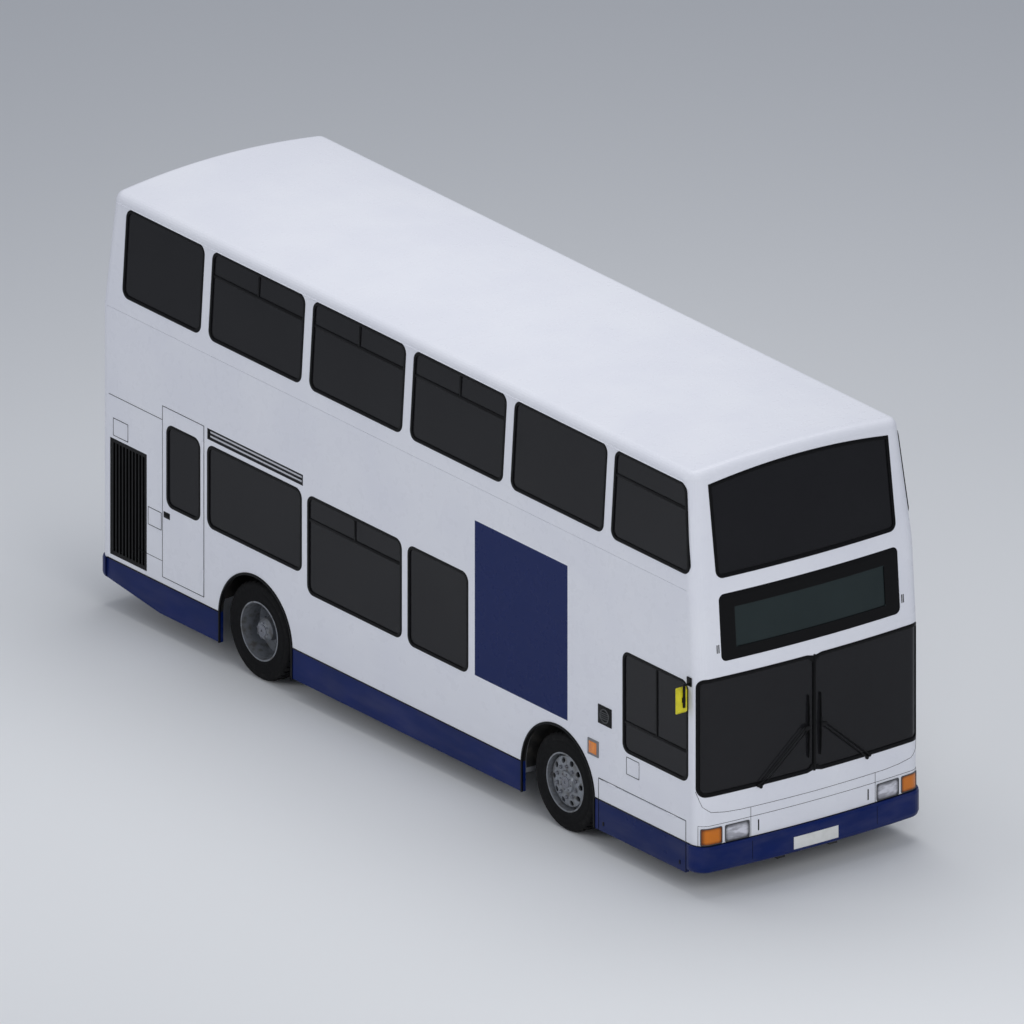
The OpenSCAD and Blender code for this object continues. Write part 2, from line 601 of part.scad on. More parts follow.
// Two rails that step up over the rear axle, with cross-members between them, an engine cradle,
// and outriggers that carry the floors' edges and the side panels
module chassis_frame() color([0.12, 0.12, 0.13]) {
  between = rail_x0 - fit;
  beside = rail_x1 + fit;
  edge = inner_x - fit;
  both_sides() {
    box(rail_x0, rail_x1, chassis_front_y, step_post_y0 - fit, front_rail_z0, front_rail_top);
    box(rail_x0, rail_x1, step_post_y1 + fit, rail_rear_end, rear_rail_z0, rear_rail_top);
    box(rail_x0, rail_x1, step_post_y0, step_post_y1, front_rail_z0, rear_rail_top);
  }
  for (y = [chassis_front_y, -3200, -1650, -700, 250, 1100])
    box(-between, between, y, y + 60, front_rail_z0 + 10, front_rail_top - 10);
  for (y = [1600, 2950, 3600])
    box(-between, between, y, y + 60, rear_rail_z0 + 10, rear_rail_top - 10);
  box(-between, between, rail_rear_end - 80, rail_rear_end, end_member_z0, end_member_z0 + 60);
  for (y = [3850, 4250]) {
    box(-between, between, y, y + 80, 400, 460);
    both_sides() box(rail_x0, rail_x1, y, y + 80, 400, rear_rail_z0 - fit);
  }
  both_sides() {
    for (y = [-1650, -700, 250, 1100]) box(beside, edge, y, y + 60, front_rail_z0 + 10, front_rail_top);
    for (y = [3100, 3600, 4100]) box(beside, edge, y, y + 60, rear_rail_z0 + 10, rear_rail_top);
  }
  for (y = [-4240, -3290]) box(-edge, -beside, y, y + 60, front_rail_z0 + 10, front_rail_top);
  box(beside, edge, platform_y1 + house_t + fit, -3085, front_rail_z0 - 30, front_rail_top);
  box(beside, edge, chassis_front_y, chassis_front_y + 60, front_rail_z0 - 60, platform_z - floor_t - fit);
}
module engine_block() color(steel)
  box(-rail_x0 + 20, rail_x0 - 20, 3800, 4400, 460 + fit, 1350);
module underfloor_tanks() color([0.20, 0.20, 0.21]) {
  // Fuel tank on the offside, hung from the floor between two outriggers
  box(-inner_x + 30, -rail_x1 - 40, 320, 1090, 215, floor_z - floor_t - fit);
  // Air tanks on the nearside
  for (y = [-600, 320]) {
    rod_y(720, y, y + 640, 270, 85);
    box(690, 750, y + 100, y + 140, 340, floor_z - floor_t - fit);
    box(690, 750, y + 500, y + 540, 340, floor_z - floor_t - fit);
  }
  // Battery crate behind the locker flap
  box(-inner_x + 60, -rail_x1 - 60, -4100, -3420, 215, floor_z - floor_t - fit);
}
tail_pipe_y = 4500;
module exhaust() color([0.35, 0.33, 0.31]) {
  rod_x(-950, -500, 4130, 400, 95);
  rod_y(-900, 4100, tail_pipe_y, 400, 32);
  translate([-900, tail_pipe_y, 400]) sphere(32);
  rod_z(-900, tail_pipe_y, 275, 400, 32);
  box(-900, -860, 4110, 4150, 480, rear_rail_z0 + 10 - fit);
  box(-600, -560, 4110, 4150, 480, rear_rail_z0 + 10 - fit);
}

// ---- Axles, knuckles and wheels ----
beam_z0 = 180;
beam_z1 = 270;
module front_axle() color(steel) {
  box(-kingpin_x, kingpin_x, front_axle_y - 35, front_axle_y + 35, beam_z0, beam_z1);
  both_sides() {
    rod_z(kingpin_x, front_axle_y, beam_z0, beam_z1, 38);
    rod_z(kingpin_x, front_axle_y, beam_z1 - eps, 600, kingpin_r);
    box(rail_x0, rail_x1, front_axle_y - 90, front_axle_y + 90, beam_z1 - eps, front_rail_z0 - fit);
  }
}
drop_z0 = 290;
drop_z1 = 420;
module rear_axle() color(steel) {
  box(-600, 600, rear_axle_y - 90, rear_axle_y + 90, drop_z0, drop_z1);
  both_sides() {
    box(540, twin_in_x - 15, rear_axle_y - 110, rear_axle_y + 110, drop_z0, 600);
    rod_x(twin_in_x - 15 - eps, tyre_out_x - 60, rear_axle_y, hub_z, stub_r);
    rod_z((rail_x0 + rail_x1) / 2, rear_axle_y, drop_z1 - eps, rear_rail_z0 - fit, 75);
  }
}
module steering_knuckle() {
  difference() {
    union() {
      rod_z(kingpin_x, front_axle_y, 300, 590, 38);
      rod_x(kingpin_x, tyre_out_x - 45, front_axle_y, hub_z, stub_r);
    }
    rod_z(kingpin_x, front_axle_y, 200, 700, kingpin_r + running);
  }
}
module steering_knuckle_nearside() color(steel) steering_knuckle();
module steering_knuckle_offside() color(steel) mirror([1, 0, 0]) steering_knuckle();

hub_r = 110;
hand_hole_r = 27;
// Turns an (x, r) profile about the axle line at y
module turned_x(y) translate([0, y, hub_z]) rotate([0, 90, 0]) rotate_extrude($fn = 96) children();
// The barrel of a rim between two places
module rim_barrel(y, x0, x1)
  turned_x(y) polygon([[rim_r - 14, x0], [rim_r, x0], [rim_r - 8, x0 + 25], [rim_r - 8, x1 - 25], [rim_r, x1], [rim_r - 14, x1]]);
// A ring of plain round holes through a disc
module hand_holes(y, x0, x1, pcd, count, r)
  for (i = [0:count - 1])
    rod_x(x0, x1, y + pcd * cos(360 * i / count), hub_z + pcd * sin(360 * i / count), r);
module front_rim() difference() {
  union() {
    rim_barrel(front_axle_y, tyre_in_x + 5, tyre_out_x - 5);
    turned_x(front_axle_y) polygon([[stub_r - 5, tyre_out_x - 70], [hub_r, tyre_out_x - 70], [160, tyre_out_x - 42],
      [235, tyre_out_x - 60], [rim_r - 12, tyre_out_x - 110], [rim_r - 12, tyre_out_x - 90], [240, tyre_out_x - 42],
      [165, tyre_out_x - 26], [hub_r, tyre_out_x - 30], [hub_r - 8, tyre_out_x - 12], [0, tyre_out_x - 6], [0, tyre_out_x - 30],
      [stub_r - 5, tyre_out_x - 30]]);
    turned_x(front_axle_y) polygon([[stub_r - 10, tyre_in_x + 60], [hub_r + 10, tyre_in_x + 60], [hub_r, tyre_out_x - 69],
      [stub_r - 10, tyre_out_x - 69]]);
  }
  rod_x(tyre_in_x, tyre_out_x - 44, front_axle_y, hub_z, stub_r + running);
  hand_holes(front_axle_y, tyre_out_x - 120, tyre_out_x, 203, 10, hand_hole_r);
}
module tyre(y, x0) {
  x1 = x0 + tyre_w;
  turned_x(y) polygon([[rim_r + fit, x0 + 6], [rim_r + 60, x0 + 1], [rim_r + 110, x0], [tyre_r - 40, x0 + 4],
    [tyre_r - 12, x0 + 22], [tyre_r, x0 + 48], [tyre_r, x1 - 48], [tyre_r - 12, x1 - 22], [tyre_r - 40, x1 - 4],
    [rim_r + 110, x1], [rim_r + 60, x1 - 1], [rim_r + fit, x1 - 6]]);
}
module rear_rims() difference() {
  union() {
    rim_barrel(rear_axle_y, twin_in_x + 5, twin_in_x + tyre_w - 5);
    rim_barrel(rear_axle_y, tyre_in_x + 5, tyre_out_x - 5);
    turned_x(rear_axle_y) polygon([[hub_r - 20, tyre_in_x - 36], [235, tyre_in_x - 36], [rim_r - 12, twin_in_x + tyre_w - 40],
      [rim_r - 12, twin_in_x + tyre_w - 16], [240, tyre_in_x - 22], [hub_r - 20, tyre_in_x - 22]]);
    turned_x(rear_axle_y) polygon([[hub_r - 20, tyre_in_x - 22 - eps], [235, tyre_in_x - 22 - eps], [240, tyre_in_x - 10],
      [rim_r - 12, tyre_in_x + 40], [rim_r - 12, tyre_in_x + 62], [235, tyre_in_x + 6], [hub_r - 20, tyre_in_x + 6]]);
    turned_x(rear_axle_y) polygon([[stub_r - 5, twin_in_x + 60], [hub_r + 5, twin_in_x + 60], [hub_r + 5, tyre_in_x - 10],
      [hub_r, tyre_out_x - 80], [hub_r - 30, tyre_out_x - 45], [0, tyre_out_x - 40], [0, tyre_out_x - 55], [stub_r - 5, tyre_out_x - 55]]);
  }
  rod_x(twin_in_x, tyre_out_x - 57, rear_axle_y, hub_z, stub_r + running);
  hand_holes(rear_axle_y, tyre_in_x - 100, tyre_in_x + 100, 203, 10, hand_hole_r);
}
module front_rim_nearside() color(steel) front_rim();
module front_rim_offside() color(steel) mirror([1, 0, 0]) front_rim();
module front_tyre_nearside() color(rubber) tyre(front_axle_y, tyre_in_x);
module front_tyre_offside() color(rubber) mirror([1, 0, 0]) tyre(front_axle_y, tyre_in_x);
module rear_rims_nearside() color(steel) rear_rims();
module rear_rims_offside() color(steel) mirror([1, 0, 0]) rear_rims();
module rear_twin_tyres() {
  tyre(rear_axle_y, tyre_in_x);
  tyre(rear_axle_y, twin_in_x);
}
module rear_tyres_nearside() color(rubber) rear_twin_tyres();
module rear_tyres_offside() color(rubber) mirror([1, 0, 0]) rear_twin_tyres();

// ---- Floors ----
house_t = 12;
// Room over the front tyres for steering and suspension, and over the rear ones for suspension
front_house_r = tyre_r + 109;
rear_house_r = tyre_r + 81;
house_x = 640;
rear_house_x = twin_in_x - 20;
// A half-round wheel house, closed on its inner side, that stands beside the floor
module round_house(y, x0, r, z0) difference() {
  union() {
    rod_x(x0 - house_t, inner_x - fit, y, hub_z, r + house_t);
    box(x0 - house_t, inner_x - fit, y - r - house_t, y + r + house_t, z0, hub_z);
  }
  rod_x(x0, side_x, y, hub_z, r);
  box(x0 - 2 * house_t, side_x, y - r - 2 * house_t, y + r + 2 * house_t, -tyre_r, z0);
  box(x0, side_x, y - r, y + r, 0, hub_z + eps);
}
// A square wheel house of four plates, whose flat top carries seats
module square_house(y, x0, r, z0) {
  edge = inner_x - fit;
  box(x0 - house_t, x0, y - r - house_t, y + r + house_t, z0, hub_z + r - fit);
  for (e = [y - r - house_t, y + r]) box(x0 + fit, edge, e, e + house_t, z0, hub_z + r - fit);
  box(x0 - house_t, edge, y - r - house_t, y + r + house_t, hub_z + r, hub_z + r + house_t);
}
module wheel_houses() color([0.25, 0.26, 0.28]) both_sides() {
  round_house(front_axle_y, house_x, front_house_r, floor_z - floor_t);
  square_house(rear_axle_y, rear_house_x, rear_house_r, rear_floor_z - floor_t);
}
platform_y1 = -3150;
floor_front_y = corner_y(FRONT, 0) + 20;
// A deck beside and between two wheel houses, as three plates: [from, to] in Y
module deck_plates(y0, y1, y, x0, r, z) {
  edge = inner_x - fit;
  mid = x0 - house_t - fit;
  box(-mid, mid, y0, y1, z - floor_t, z);
  both_sides() {
    if (y - r - house_t - fit > y0 + 20) box(mid + fit, edge, y0, y - r - house_t - fit, z - floor_t, z);
    box(mid + fit, edge, y + r + house_t + fit, y1, z - floor_t, z);
  }
}
module lower_floor() color([0.30, 0.31, 0.33]) {
  edge = inner_x - fit;
  kerb_x = rail_x1 + 20;
  // The driver's floor and gangway, and the lower platform at the entrance with its kerbs
  box(-edge, kerb_x, floor_front_y, platform_y1 - fit, floor_z - floor_t, floor_z);
  box(kerb_x - house_t, kerb_x, floor_front_y, platform_y1, platform_z - floor_t, floor_z - floor_t - fit);
  box(kerb_x + fit, edge, floor_front_y, platform_y1 - fit, platform_z - floor_t, platform_z);
  box(kerb_x + fit, edge, platform_y1, platform_y1 + house_t, platform_z - floor_t, floor_z - floor_t - fit);
  deck_plates(platform_y1, floor_step_y - fit, front_axle_y, house_x, front_house_r, floor_z);
  // The step up to the rear floor
  box(-edge, edge, floor_step_y, floor_step_y + house_t, floor_z - floor_t, rear_floor_z - floor_t - fit);
  box(-gangway_w / 2, gangway_w / 2, floor_step_y - 260, floor_step_y - fit, floor_z + fit, (floor_z + rear_floor_z) / 2);
  deck_plates(floor_step_y, bulkhead_y - fit, rear_axle_y, rear_house_x, rear_house_r, rear_floor_z);
  // Bulkhead in front of the engine bay
  box(-edge, edge, bulkhead_y, bulkhead_y + floor_t, rear_floor_z - floor_t, upper_floor_z - floor_t - fit);
}
well_x1 = -650;
well_y0 = -3300;
stair_y0 = -3400;
risers = 9;
rise = (upper_floor_z - floor_z) / risers;
tread = 211;
well_y1 = stair_y0 + (risers - 1) * tread;
module upper_floor() color([0.30, 0.31, 0.33]) difference() {
  translate([0, 0, upper_floor_z - floor_t]) linear_extrude(floor_t) polygon(concat(
    [for (p = end_ring(FRONT, upper_floor_z, wall_t + fit)) [p[0], p[1]]],
    [for (p = reversed(end_ring(REAR, upper_floor_z, wall_t + fit))) [p[0], -p[1]]]));
  box(-side_x, well_x1, well_y0, well_y1, 0, overall_h);
}
stair_t = 25;
module staircase() color([0.32, 0.33, 0.35]) {
  x0 = -inner_x + fit;
  x1 = well_x1;
  for (k = [1:risers - 1]) {
    y = stair_y0 + (k - 1) * tread;
    z = floor_z + k * rise;
    box(x0, x1, y, y + tread + stair_t, z - stair_t, z);
    box(x0, x1, y, y + stair_t, z - rise + (k == 1 ? fit : 0), z);
  }
  // Top riser, which ends under the upper floor's edge
  box(x0, x1, well_y1 - stair_t, well_y1 - fit, floor_z + (risers - 1) * rise - stair_t, upper_floor_z - fit);
  // Panel between the stairs and the gangway
  difference() {
    along_x(x1, x1 + stair_t) polygon([[stair_y0, floor_z + fit], [stair_y0, floor_z + rise + 900], [stair_y0 + 900, upper_floor_z - floor_t - fit],
      [well_y1, upper_floor_z - floor_t - fit], [well_y1, floor_z + (risers - 1) * rise - 260], [stair_y0 + 3.2 * tread, floor_z + fit]]);
    rod_x(-side_x, side_x, front_axle_y, hub_z, front_house_r + house_t + 4);
  }
}

// ---- Cab ----
cab_x = -420;
wheel_tilt = -25;
wheel_pivot = [-860, -4085, 1235];
wheel_r = 230;
// Things set square to the steering column, whose axis leans back towards the driver
module on_column() translate(wheel_pivot) rotate([wheel_tilt, 0, 0]) children();
module steering_wheel() color(black) on_column() {
  rotate_extrude($fn = 72) translate([wheel_r - 14, 0]) circle(14, $fn = 24);
  difference() {
    union() {
      translate([0, 0, -22]) cylinder(h = 44, r = 48);
      for (a = [90, 210, 330]) rotate([0, 0, a]) translate([0, -16, -7]) cube([wheel_r - 16, 32, 12]);
    }
    translate([0, 0, -30]) cylinder(h = 40, r = 14 + running);
  }
}
module dashboard() color([0.10, 0.10, 0.11]) {
  // Desk and instrument hood on a front panel that stands on the floor
  along_x(-inner_x + 30, cab_x - 30 - fit)
    polygon([[-4400, floor_z + fit], [-4400, 1080], [-4330, 1150], [-4230, 1150], [-4180, 1060], [-4200, 960],
             [-4360, 960], [-4360, floor_z + fit]]);
  // Steering column
  on_column() translate([0, 0, -330]) cylinder(h = 330 - 28, r = 40);
  on_column() translate([0, 0, -30]) cylinder(h = 36, r = 14);
}
module driver_seat() color([0.13, 0.14, 0.17]) {
  x = wheel_pivot[0];
  box(x - 150, x + 150, -3830, -3530, floor_z + fit, floor_z + 40);
  box(x - 60, x + 60, -3740, -3620, floor_z + 40 - eps, floor_z + 330);
  box(x - 220, x + 220, -3900, -3440, floor_z + 330 - eps, floor_z + 360);
  box(x - 235, x + 235, -3930, -3490, floor_z + 360 + fit, floor_z + 460);
  box(x - 235, x + 235, -3485, -3445, floor_z + 330, floor_z + 1080);
  box(x - 130, x + 130, -3485, -3445, floor_z + 1080 + fit, floor_z + 1250);
}
// Screen behind and beside the driver, with the cab door's lower half in it
module cab_partition() color([0.42, 0.44, 0.47]) {
  top = upper_floor_z - floor_t - fit;
  difference() {
    box(-inner_x + fit, cab_x, stair_y0 - 30, stair_y0 - fit, floor_z + fit, top);
    along_y(-overall_len, 0) rounded(-inner_x + 120, 1500, cab_x - 80, 2150, 60);
  }
  box(cab_x - 30, cab_x, -4350, stair_y0 - 30, floor_z + fit, 1350);
}

// ---- Seats: [nearside?, front edge of the cushion, height it stands on] ----
arch_seat_z = hub_z + rear_house_r + house_t + fit;
lower_seats = concat(
  [for (i = [0:3]) [1, -1720 + seat_pitch * i, floor_z]],
  [for (i = [0:2]) [-1, -1720 + seat_pitch * (i + 1), floor_z]],
  [for (s = [-1, 1]) for (y = [1760, 2330]) [s, y, arch_seat_z]]);
upper_seats = concat(
  [for (i = [0:9]) [1, -4010 + seat_pitch * i, upper_floor_z]],
  [[-1, -4010, upper_floor_z]],
  [for (i = [0:6]) [-1, -4010 + seat_pitch * (i + 3.45), upper_floor_z]]);
// Rear benches: [from x, to x, front edge of the cushion, floor]
benches = [[-gangway_w, inner_x - 60, bulkhead_y - seat_d - 110, rear_floor_z],
           [-inner_x + 60, inner_x - 60, 3980, upper_floor_z]];
seat_back_t = 60;
seat_shell_t = 14;
seat_side_gap = 45;
function seat_x0(s) = s[0] > 0 ? inner_x - seat_side_gap - seat_w : -inner_x + seat_side_gap;
function seat_rise(s) = s[2] == arch_seat_z ? 30 : seat_h - cushion_t;
// The tray, back shell and legs of one seat
module seat_shell(x0, x1, y, z, rise) {
  back_top = z + rise + cushion_t + seat_back_h;
  yb = y + seat_d + seat_back_t + 2 * fit;
  box(x0, x1, y + 20, yb + seat_shell_t, z + rise - 20, z + rise);
  box(x0, x1, yb, yb + seat_shell_t, z + rise + fit, back_top);
  if (rise > 100) {
    for (x = [x0 + 120, x1 - 160]) box(x, x + 40, y + 120, y + 360, z + fit, z + rise - 20 + eps);
  } else {
    // The leg beside the wheel house goes down to the floor
    for (x = [x0 + 120, x1 - 160])
      box(x, x + 40, y + 60, y + 380, abs(x + 20) < rear_house_x - house_t ? rear_floor_z + fit : z, z + rise - 20 + eps);
  }
}
// The cushion and the back pad of one seat
module seat_pads(x0, x1, y, z, rise) {
  box(x0 + 6, x1 - 6, y, y + seat_d, z + rise + fit, z + rise + cushion_t);
  box(x0 + 6, x1 - 6, y + seat_d + fit, y + seat_d + seat_back_t + fit, z + rise + 20, z + rise + cushion_t + seat_back_h - 30);
}
module seat_frames() color([0.20, 0.22, 0.26]) {
  for (s = concat(lower_seats, upper_seats))
    seat_shell(seat_x0(s), seat_x0(s) + seat_w, s[1], s[2], seat_rise(s));
  for (b = benches) seat_shell(b[0], b[1], b[2], b[3], seat_h - cushion_t);
}
module seat_cushions() color([0.12, 0.20, 0.42]) {
  for (s = concat(lower_seats, upper_seats))
    seat_pads(seat_x0(s), seat_x0(s) + seat_w, s[1], s[2], seat_rise(s));
  for (b = benches) seat_pads(b[0], b[1], b[2], b[3], seat_h - cushion_t);
}
pole_r = 16;
module handrails() color([0.85, 0.65, 0.08]) {
  lower_top = upper_floor_z - floor_t - fit;
  for (y = [-3080, -1760, -300, 1300]) {
    rod_z(gangway_w / 2 + 30, y, floor_z + fit, lower_top, pole_r);
  }
  for (y = [-320, 1300]) rod_z(-gangway_w / 2 - 30, y, floor_z + fit, lower_top, pole_r);
  // Rails round the stairwell
  for (y = [well_y0 + 40, -2500, well_y1 - 40])
    rod_z(well_x1 + 30, y, upper_floor_z + fit, upper_floor_z + 900, pole_r);
  rod_y(well_x1 + 30, well_y0 + 20, well_y1 - 20, upper_floor_z + 900, pole_r);
}

// ---- Outside fittings ----
module wipers() color(black) {
  for (s = [0, 1]) mirror([s, 0, 0]) {
    y = end_y(FRONT, 70, screen_z0) + glass_inset;
    // Blade
    box(62, 74, y - 24, y - 2, 1145, 1765);
    // Arm
    hull() {
      box(66, 84, y - 34, y - 24, 1440, 1470);
      box(600, 622, end_y(FRONT, 610, 980) - 16, end_y(FRONT, 610, 980) - 6, 975, 1000);
    }
    rod_y(611, end_y(FRONT, 611, 985) - 22, end_y(FRONT, 591, 985) - fit, 985, 20);
  }
}
mirror_x = -side_x - 68;
mirror_y = -4440;
module side_mirror() color(black) {
  box(-side_x - 12, -side_x - fit, -4510 + 40, -4400, 2073, 2161);
  box(mirror_x - 10, -side_x - 12 + eps, mirror_y - 10, mirror_y + 10, 2085, 2110);
  box(mirror_x - 12, mirror_x + 12, mirror_y - 8, mirror_y + 8, 1874, 2110);
  hull() {
    box(mirror_x - 62, mirror_x + 62, mirror_y + 30, mirror_y + 58, 1805, 2065);
    box(mirror_x - 50, mirror_x + 50, mirror_y + 8 - eps, mirror_y + 30, 1830, 2040);
  }
}
module side_grilles() color(black) {
  // Upright slats of the radiator's air inlets, in a frame let into the side
  both_sides() {
    along_x(inner_x + 4, side_x - 4) difference() {
      plate_outline(grille_hole, -fit);
      for (i = [0:9]) translate([grille_hole[0] + 40 + i * 50, grille_hole[2] + 40]) square([30, grille_hole[3] - grille_hole[2] - 80]);
    }
  }
  // Long air slot over the rear window of the offside
  along_x(-side_x + 2, -side_x + 20 - fit) difference() {
    plate_outline(louvre_hole, -fit);
    for (i = [0:1]) translate([louvre_hole[0] + 20, louvre_hole[2] + 18 + 42 * i]) square([louvre_hole[1] - louvre_hole[0] - 40, 30]);
  }
}

// ---- Doors and lids ----
leaf_t = 34;
leaf_x = side_x - 4;
leaf_z0 = platform_z + 8;
leaf_mid_y = (entrance_y0 + entrance_y1) / 2;
leaf_post_r = 9;
leaf_post_x = inner_x - leaf_post_r - gap;
leaf_mid_gap = gap / 2 + 2;
leaf_window = [70, 130, 110];
// A leaf of the entrance, with its glass and the post that it turns on. It opens inwards.
module entrance_leaf(y0, y1, post_y) {
  module window(inset)
    rounded(y0 + leaf_window[0] + inset, leaf_z0 + leaf_window[1] + inset, y1 - leaf_window[0] - inset,
            entrance_top_z - leaf_window[2] - inset, 60);
  difference() {
    box(leaf_x - leaf_t, leaf_x, y0, y1, leaf_z0, entrance_top_z);
    along_x(leaf_x - leaf_t - eps, leaf_x + eps) window(0);
  }
  along_x(leaf_x - leaf_t / 2 - glass_t / 2, leaf_x - leaf_t / 2 + glass_t / 2) window(fit);
  rod_z(leaf_post_x, post_y, platform_z + fit, upper_floor_z - floor_t - fit, leaf_post_r);
  for (z = [leaf_z0 + 60, (leaf_z0 + entrance_top_z) / 2, entrance_top_z - 120])
    box(leaf_post_x, leaf_x - leaf_t + eps, max(y0, post_y - 20), min(y1, post_y + 20), z, z + 60);
}
module entrance_leaf_front() color([0.7, 0.72, 0.75])
  entrance_leaf(entrance_y0 + gap, leaf_mid_y - leaf_mid_gap, entrance_y0 + gap);
module entrance_leaf_rear() color([0.7, 0.72, 0.75])
  entrance_leaf(leaf_mid_y + leaf_mid_gap, entrance_y1 - gap, entrance_y1 - gap);

// Barrels of the outside hinges, on an axis just proud of the skin
hinge_r = 8;
hinge_out = 6;
lid_hinge_r = 6.5;
lid_hinge_out = 4;
module emergency_door() color(white) {
  along_x(-side_x, -inner_x) difference() {
    translate([exit_y0, exit_z0]) square([exit_y1 - exit_y0, exit_z1 - exit_z0]);
    window_cuts([exit_window], 0);
  }
  along_x(-side_x + glass_inset, -side_x + glass_inset + glass_t) window_cuts([exit_window], fit);
  for (z = [exit_z0 + 150, exit_z1 - 270]) rod_z(-side_x - hinge_out, exit_y0, z, z + 120, hinge_r);
}
module locker_flap() color(white) {
  along_x(-side_x, -inner_x) translate([locker_y0, skirt_z]) square([locker_y1 - locker_y0, locker_top_z - skirt_z]);
  for (y = [locker_y0 + 150, locker_y1 - 270]) rod_y(-side_x - hinge_out, y, y + 120, locker_top_z, hinge_r);
}
module engine_cover() color(white) {
  intersection() {
    end_wall(REAR, [[engine_cover_z0, 0], [engine_cover_z1, 0]], 0, wall_t);
    box(-engine_cover_hw, engine_cover_hw, 0, overall_len, engine_cover_z0, engine_cover_z1);
  }
  both_sides() rod_x(40, 200, rear_y + hinge_out, engine_cover_z1, hinge_r);
}
module small_lid(w) color(white) {
  along_x(-side_x, -side_x + lid_t) plate_outline(w, 0);
  rod_z(-side_x - lid_hinge_out, w[0], w[2] + 20, w[3] - 20, lid_hinge_r);
}
module filler_flap() small_lid(filler_lid);
module coolant_flap() small_lid(coolant_lid);
module battery_flap() small_lid(battery_lid);

chassis_frame();
tow_jaws();
engine_block();
underfloor_tanks();
exhaust();
front_axle();
rear_axle();
lower_floor();
wheel_houses();
upper_floor();
staircase();
lower_sides();
upper_sides();
skirts();
roof();
front_lower_panel();
front_upper_panel();
rear_panel();
bumpers();
windscreens();
side_glass();
destination_box();
dashboard();
driver_seat();
cab_partition();
seat_frames();
seat_cushions();
handrails();
wipers();
side_mirror();
lamps();
side_grilles();
steering_knuckle_offside();
steering_knuckle_nearside();
steering_wheel();
front_rim_offside();
front_rim_nearside();
front_tyre_offside();
front_tyre_nearside();
rear_rims_offside();
rear_rims_nearside();
rear_tyres_offside();
rear_tyres_nearside();
entrance_leaf_front();
entrance_leaf_rear();
emergency_door();
engine_cover();
locker_flap();
filler_flap();
coolant_flap();
battery_flap();
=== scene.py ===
import math

import bpy
from mathutils import Matrix, Vector


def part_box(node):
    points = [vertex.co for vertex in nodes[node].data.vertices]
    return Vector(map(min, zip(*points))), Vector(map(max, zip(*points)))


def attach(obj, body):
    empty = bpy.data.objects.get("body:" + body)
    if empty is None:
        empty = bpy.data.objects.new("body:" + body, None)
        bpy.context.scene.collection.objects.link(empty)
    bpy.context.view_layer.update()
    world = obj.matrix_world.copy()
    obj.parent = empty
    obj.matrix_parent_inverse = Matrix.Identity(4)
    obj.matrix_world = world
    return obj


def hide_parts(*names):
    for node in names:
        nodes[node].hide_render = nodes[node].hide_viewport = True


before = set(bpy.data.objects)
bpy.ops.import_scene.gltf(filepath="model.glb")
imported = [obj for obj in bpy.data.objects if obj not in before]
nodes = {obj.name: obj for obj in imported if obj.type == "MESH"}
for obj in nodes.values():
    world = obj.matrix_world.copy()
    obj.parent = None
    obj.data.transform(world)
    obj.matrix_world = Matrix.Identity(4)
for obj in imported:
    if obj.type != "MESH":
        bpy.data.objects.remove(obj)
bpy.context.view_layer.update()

# ---- Chassis, axles and engine ----
# Welded steel rails and cross-members in black chassis paint, cast axles, a grey-painted engine
# block, moulded tanks and a bare steel silencer. All carry dried road dirt.


class Signal:
    """One output in a finish's nodes. Arithmetic on it adds Math nodes."""

    def __init__(self, finish, socket):
        self.finish = finish
        self.socket = socket

    def maths(self, operation, *others):
        inputs = {i: v for i, v in enumerate((self, *others))}
        return self.finish.node("ShaderNodeMath", {"operation": operation}, inputs)

    def __add__(self, other):
        return self.maths("ADD", other)

    def __sub__(self, other):
        return self.maths("SUBTRACT", other)

    def __rsub__(self, other):
        return self * -1.0 + other

    def __mul__(self, other):
        return self.maths("MULTIPLY", other)

    def __truediv__(self, other):
        return self.maths("DIVIDE", other)

    def __gt__(self, other):
        return self.maths("GREATER_THAN", other)

    def __lt__(self, other):
        return self.maths("LESS_THAN", other)

    __radd__ = __add__
    __rmul__ = __mul__

    def size(self):
        return self.maths("ABSOLUTE")

    def ramp(self, low, high):
        """0 below low, 1 above high, and smooth between them."""
        return self.finish.node(
            "ShaderNodeMapRange",
            {"interpolation_type": "SMOOTHSTEP"},
            {"Value": self, "From Min": low, "From Max": high},
        )

    def between(self, low, high):
        """1 from low to high, and 0 elsewhere."""
        return (self > low) * (self < high)


